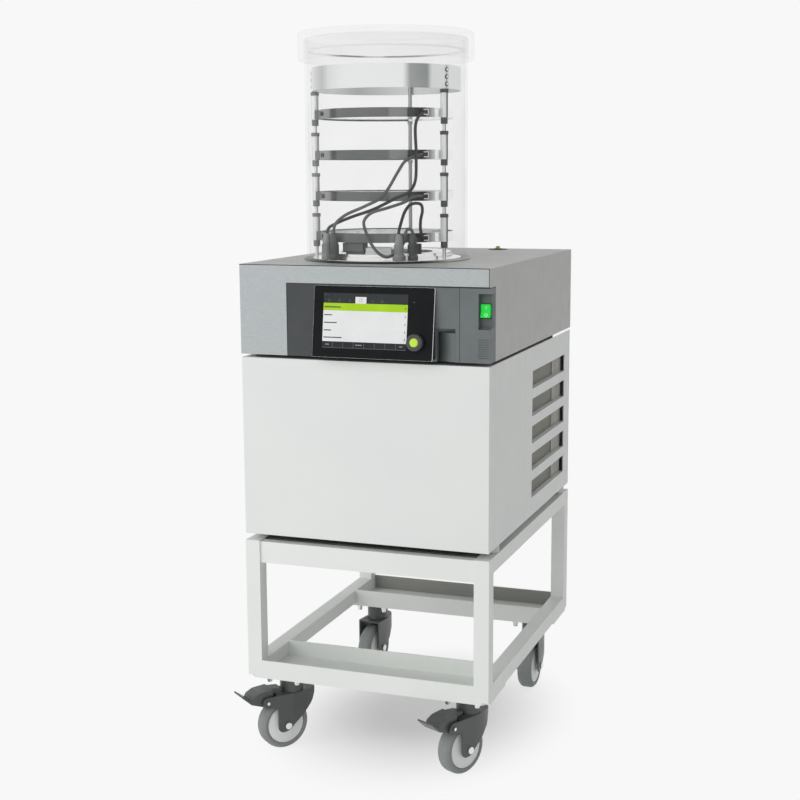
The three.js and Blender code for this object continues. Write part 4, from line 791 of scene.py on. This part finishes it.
sleevePaintedBands = {
    -1: [(-72, "b9bbba"), (-45, "dcdedd"), (-34, "f2f3f3"), (46, "f4f5f5"), (54, "b5b7b6"), (110, "b5b7b6")],
    1: [(-72, "b9bbba"), (-45, "dcdedd"), (-30, "f4f5f5"), (50, "f8f8f8"), (57, "6d706e"), (110, "5f6260")]}
for side, node, collarNylon in (
        (-1, "left_rack_post", "collar_nylon_pale"), (1, "right_rack_post", "collar_nylon_dark")):
    spot = aroundChamber(postCircle, side * postAngle, 0)
    # ground stainless with painted reflections and shade: each sleeve is pale with one darker flank
    paintedLightBands(node + "_stainless", sleevePaintedBands[side], 0.5, 0.3, spot[0], spot[1])
    sleeves, collars = bmesh.new(), bmesh.new()
    turn(sleeves, cylinder(rack["rod"], rodFoot, ringTop - 8), 32, spot)
    for level in levels:
        top = level + rack["sleeveLength"]
        turn(sleeves, softened(cylinder(rack["sleeve"], level, top), 0.5), 40, spot)
        for radius, low, high in ((rack["tallRadius"], level - rack["tallCollar"], level),
                                  (rack["collar"], top, top + rack["shortCollar"])):
            turn(collars, softened(cylinder(radius, low, high), 0.7), 40, spot)
    keep(node + "_sleeves", sleeves, node + "_stainless", [node])
    keep(node + "_collars", collars, collarNylon)

ringInner = rack["ringRadius"] - rack["ringSheet"]
addTurned("top_ring_band", "polished_ring", band(
    ringInner, rack["ringRadius"], ringFoot, ringTop), 0.4, ["top_ring"])
rearSpot = aroundChamber(postCircle, 180, 0)
thin, thick = rack["rearRod"], rack["rearCollar"]
rearRod = [(0, rodFoot), (thin, rodFoot)]
for level in reversed(levels):
    low = level - rack["rearCollarHeight"]
    rearRod += [(thin, low), (thick, low), (thick, level), (thin, level)]
# painted reflections on the rear rod: paler in front, darker at its flanks
paintedLightBands("rear_rod_stainless", [
    (-72, "8f9392"), (-30, "a0a3a2"), (-14, "bfc1c0"), (24, "bfc1c0"), (38, "8f9291"), (110, "7f8382")],
    0.35, 0.6, rearSpot[0], rearSpot[1])
bm = bmesh.new()
turn(bm, softened(rearRod + [(thin, ringTop + 5), (0, ringTop + 5)], 0.4), 32, rearSpot)
addBox(bm, (-2, -ringInner, ringFoot), (2, -postCircle, ringTop), atBearing(180), 0.2)
keep("rear_rod", bm, "rear_rod_stainless")
rivets, washers = bmesh.new(), bmesh.new()
for bearing in (-postAngle, postAngle):
    a = radians(bearing)
    outward = (sin(a), -cos(a), 0)
    for share in (0.2, 0.5, 0.8):
        centre = aroundChamber(0, 0, ringFoot + share * rack["ringHeight"])
        turn(rivets, [(0, 147), (2.6, 147), (2.6, 149.6), (1.6, 150.4), (0, 150.6)], 20, centre, outward)
        turn(washers, cylinder(4.4, 147, 149.1), 24, centre, outward)
keep("ring_rivets", rivets, "zinc_plate")
keep("ring_washers", washers, "bezel_abs")
print("rack frame")

# each shelf: a tray, lugs that hold the posts, a socket for its lead, and painted shade for a small dark
# hole in the rim
socket = {
    "bearing": 45.6, "half": 19, "connectorBearing": 51, "connectorHalf": 6, "frame": 5.6, "frameBar": 1.9}
rimOuter, rimInner = rack["shelfRadius"] - 0.3, rack["shelfRadius"] - rack["rimThickness"]
for i, top in enumerate(rims):
    foot = top - rack["rimHeight"]
    node = f"shelf_{i + 1}"
    bm = bmesh.new()
    turn(bm, softened(band(rimInner, rimOuter, foot, top), 0.4), roundSegments, chamberAxis)
    for bearing, reach in ((-postAngle, 9.8), (postAngle, 9.8), (180, 6.5)):
        for x in (-reach, reach):
            addBox(bm, (x - 1.2, -postCircle, foot + 0.1), (x + 1.2, 0.5 - rimInner, top - 0.1),
                   atBearing(bearing), 0.3)
    for face in bm.faces:  # painted highlight: a pale mirror finish from the right-hand post on round the back
        spot = middle(face)
        bearing = degrees(atan2(spot.x - chamber["x"], chamber["y"] - spot.y))
        face.material_index = int(bearing > rack["highlightFrom"])
    keep(node + "_rim", bm, ["anodised_rim_painted_light", "rim_painted_highlight"], [node])
    lip, wall = rack["rimLip"], rimInner - 0.5
    floor = foot + lip
    addTurned(node + "_tray", "electropolished_tray", [
        (0, floor), (rimInner, floor), (rimInner, top - lip), (wall, top - lip),
        (wall, floor + rack["plate"]), (0, floor + rack["plate"])], 0.3)
    addBlocks(node + "_grommet", "rim_hole_grommet", [
        ((-8, -rimOuter - 0.5, foot + 5), (8, -rimInner, foot + 13.5), atBearing(rack["holeBearing"]), 2.5)])
    half, connectorHalf, reach, bar = [socket[key] for key in ("half", "connectorHalf", "frame", "frameBar")]
    onSocket, onConnector = atBearing(socket["bearing"]), atBearing(socket["connectorBearing"])
    addBlocks(node + "_socket_body", "socket_body_abs", [
        ((-half, -138.3, foot + 0.2), (half, -rimOuter, top - 0.2), onSocket, 1.0)])
    addBlocks(node + "_socket", "socket_abs", [
        ((-5.5, -139, foot + 0.4), (half - 0.3, -137, top - 0.4), onSocket, 0.6),
        ((-connectorHalf, -148.6, foot + 4), (connectorHalf, -136, top - 4), onConnector, 0.8)])
    centre = onConnector @ move((0, -148.7, (foot + top) / 2))
    addBlocks(node + "_socket_frame", "socket_trim_abs", [
        ((u0, -0.4, v0), (u1, 0.3, v1), centre) for u0, v0, u1, v1 in (
            (-reach, -reach, reach, bar - reach), (-reach, reach - bar, reach, reach),
            (reach - bar, -reach, reach, reach))])
print("shelves")

# plugs: a flange, a ribbed grip, a groove, and a taper that relieves the lead
plugs = {"circle": 145, "foot": 1000.3, "radius": 10.6, "bearings": (-34.5, -25.2, 29.2, 40), "ribs": 14}
for i, bearing in enumerate(plugs["bearings"]):
    spot = aroundChamber(plugs["circle"], bearing, plugs["foot"])
    bm = bmesh.new()
    turn(bm, softened([
        (0, 0), (plugs["radius"], 0), (plugs["radius"], 8), (9.2, 10.5), (8.6, 31), (7.9, 31.8), (7.9, 33.2),
        (8.5, 34), (7.8, 40), (6.4, 46), (4.2, 50.5), (0, 52)], 0.9, 3), 48, spot)
    for n in range(plugs["ribs"]):
        turnBy = move(spot) @ spin(2 * pi * n / plugs["ribs"], 4, "Z")
        addBox(bm, (-0.8, 7.8, 12), (0.8, 9.4, 30), turnBy, 0.3)
    # every other plug gets a lit or a shaded copy of one rubber: painted light and shade
    rubber = "plug_rubber_dark" if i % 2 else "plug_rubber_pale"
    keep(f"plug_{i + 1}_body", bm, rubber, [f"plug_{i + 1}"])
addTurned("plate_bolt", "hub_nylon", [
    (0, 1000), (2.6, 1000), (2.6, 1009.5), (4.3, 1009.5), (4.3, 1014), (0, 1014.5)], 0.5, segments=24,
    centre=aroundChamber(151.5, 34.6, 0))
print("plugs")

# casters: each trails to its heading, and its wheel turns on an axle across it. axleAt and pedalPinAt are
# (reach from the swivel, height).
caster = {
    "axleAt": (22, 53), "wheelRadius": 52.18, "tyreHalf": 16.5, "hubRadius": 40.2, "insetX": 62,
    "insetY": 71, "legFace": 27.3, "pedalPinAt": (66, 109),
    "headings": {"front_left": 230.8, "front_right": 243.4, "rear_left": 261.7, "rear_right": 269}}
half, rolling, hub, face = [caster[key] for key in ("tyreHalf", "wheelRadius", "hubRadius", "legFace")]
tyre = [
    (hub, 0.5 - half), (rolling - 6, -half), (rolling, 6 - half), (rolling, half - 6), (rolling - 6, half),
    (hub, half - 0.5), (hub, 0.5 - half)]
web, boss = half - 1.6, 22
side = [
    (12, boss), (13.5, web + 4), (36.5, web), (37.2, web - 0.8), (38.2, web - 0.8), (38.9, web),
    (39.7, web - 0.6)]
hubSides = [(4.1, -boss)] + [(r, -h) for r, h in side] + side[::-1] + [(4.1, boss), (4.1, -boss)]
bolt = [(7.2, face), (7.2, face + 2.6), (5.6, face + 3.9), (0, face + 3.9)]
axleSides = [(r, -h) for r, h in bolt[::-1]] + [(3.9, -face), (3.9, face)] + bolt
pinCap = [(0, face - 1), (3.3, face - 1), (3.3, face + 2.2), (2.2, face + 2.8), (0, face + 2.8)]
for name, heading in caster["headings"].items():
    a = radians(heading)
    x = (halfWidth - caster["insetX"]) * (-1 if "left" in name else 1)
    y = caster["insetY"] if "front" in name else body["depth"] - caster["insetY"]
    wheel, pin = [
        (x + cos(a) * reach, y + sin(a) * reach, height)
        for reach, height in (caster["axleAt"], caster["pedalPinAt"])]
    axle = (-sin(a), cos(a), 0)
    refine(f"{name}_caster_plate", "zinc_plate", 0.6)
    refine(f"{name}_caster_fork", "fork_powder_coat", 0.6)
    for part, material, slotName, profile, size, bodyName, steps, segments in (
            ("tyre", "tyre_rubber", "tyre_grey", tyre, 4, "wheel", 5, 96),
            ("hub", "hub_nylon", "hub_plastic", hubSides, 0.5, "wheel", 2, 96),
            ("axle", "zinc_plate", "zinc_steel", axleSides, 0.6, "swivel", 2, 40)):
        addTurned(f"{name}_{part}_skin", material, profile, size, [f"{name}_caster_{part}"],
                  f"{name}_{bodyName}", steps, segments, wheel, axle)
    if "front" in name:
        refine(f"{name}_brake_pedal", "fork_powder_coat", 0.9)
        bm = bmesh.new()
        for way in (-1, 1):
            turn(bm, [(r, way * h) for r, h in pinCap], 24, pin, axle)
        keep(f"{name}_pin_caps", bm, "zinc_plate", (), f"{name}_swivel")
print("casters")

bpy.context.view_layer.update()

# the floor's fade is counted in half-widths and half-depths of the machine from its middle
studio = {
    "background": "f8f8f8", "sky": 0.46, "lampSpot": (-2100, -3600, 1900), "lampSize": 5, "lampEnergy": 125,
    "floorFrom": 0.25, "floorTo": 1.45, "floorLift": 0.24}


# 1 for what the camera sees, directly or in a gloss or through a clear wall
def seenShare(material):
    path = addNode(material, "LightPath")
    direct = addNode(material, "Math", {"operation": "MAXIMUM"}, {
        0: path.outputs["Is Camera Ray"], 1: path.outputs["Is Glossy Ray"]})
    return addNode(material, "Math", {"operation": "MAXIMUM"}, {
        0: direct, 1: path.outputs["Is Transmission Ray"]})


# Matt studio floor: it keeps the real shadow by the machine, and its fade into the plain background further
# out adds painted shade that deepens towards the machine's middle.
def studioFloor():
    material, tree = newMaterial("studio_floor")
    tree.nodes.remove(tree.nodes["Principled BSDF"])
    matt = addNode(material, "BsdfDiffuse", {"Color": linear(studio["background"])})
    plain = addNode(material, "Emission", {"Color": linear(studio["background"])})
    spot = addNode(material, "TexCoord").outputs["Object"]
    centred = addNode(material, "VectorMath", {
        "operation": "SUBTRACT", 1: place(0, body["depth"] / 2, 0)}, {0: spot})
    scaled = addNode(material, "VectorMath", {
        "operation": "MULTIPLY", 1: (1000 / body["halfWidth"], 2000 / body["depth"], 0)}, {0: centred})
    reach = addNode(material, "VectorMath", {"operation": "LENGTH"}, {0: scaled})
    fade = addNode(material, "MapRange", {
        "interpolation_type": "SMOOTHSTEP", "From Min": studio["floorFrom"], "From Max": studio["floorTo"],
        "To Min": studio["floorLift"]}, {"Value": reach.outputs["Value"]})
    shown = addNode(material, "Math", {"operation": "MULTIPLY"}, {0: fade, 1: seenShare(material)})
    whole = addNode(material, "MixShader", {}, {0: shown, 1: matt, 2: plain})
    tree.links.new(whole.outputs[0], tree.nodes["Material Output"].inputs["Surface"])
    return material


bm = bmesh.new()
bmesh.ops.create_circle(bm, cap_ends=True, segments=96, radius=40)
floorData = bpy.data.meshes.new("floor")
bm.to_mesh(floorData)
bm.free()
floorData.materials.append(studioFloor())
floor = addObject("floor", floorData)
floor.location.z = -0.0004

world = bpy.data.worlds.new("studio")
scene.world = world
world.use_nodes = True
backdrop = world.node_tree.nodes["Background"]
backdrop.inputs["Color"].default_value = linear("ffffff")
backdrop.inputs["Strength"].default_value = studio["sky"]
plainSky = addNode(world, "Background", {"Color": linear(studio["background"])})
sky = addNode(world, "MixShader", {}, {0: seenShare(world), 1: backdrop, 2: plainSky})
world.node_tree.links.new(sky.outputs[0], world.node_tree.nodes["World Output"].inputs["Surface"])

lamp = bpy.data.lights.new("softbox", "AREA")
lamp.size = studio["lampSize"]
lamp.energy = studio["lampEnergy"]
softbox = addObject("softbox", lamp)
softbox.location = place(*studio["lampSpot"])
softbox.rotation_euler = (place(0, 200, 650) - softbox.location).to_track_quat("-Z", "Y").to_euler()
softbox.visible_glossy = False  # polished parts and acrylic show the even studio
softbox.visible_transmission = False
print("studio")
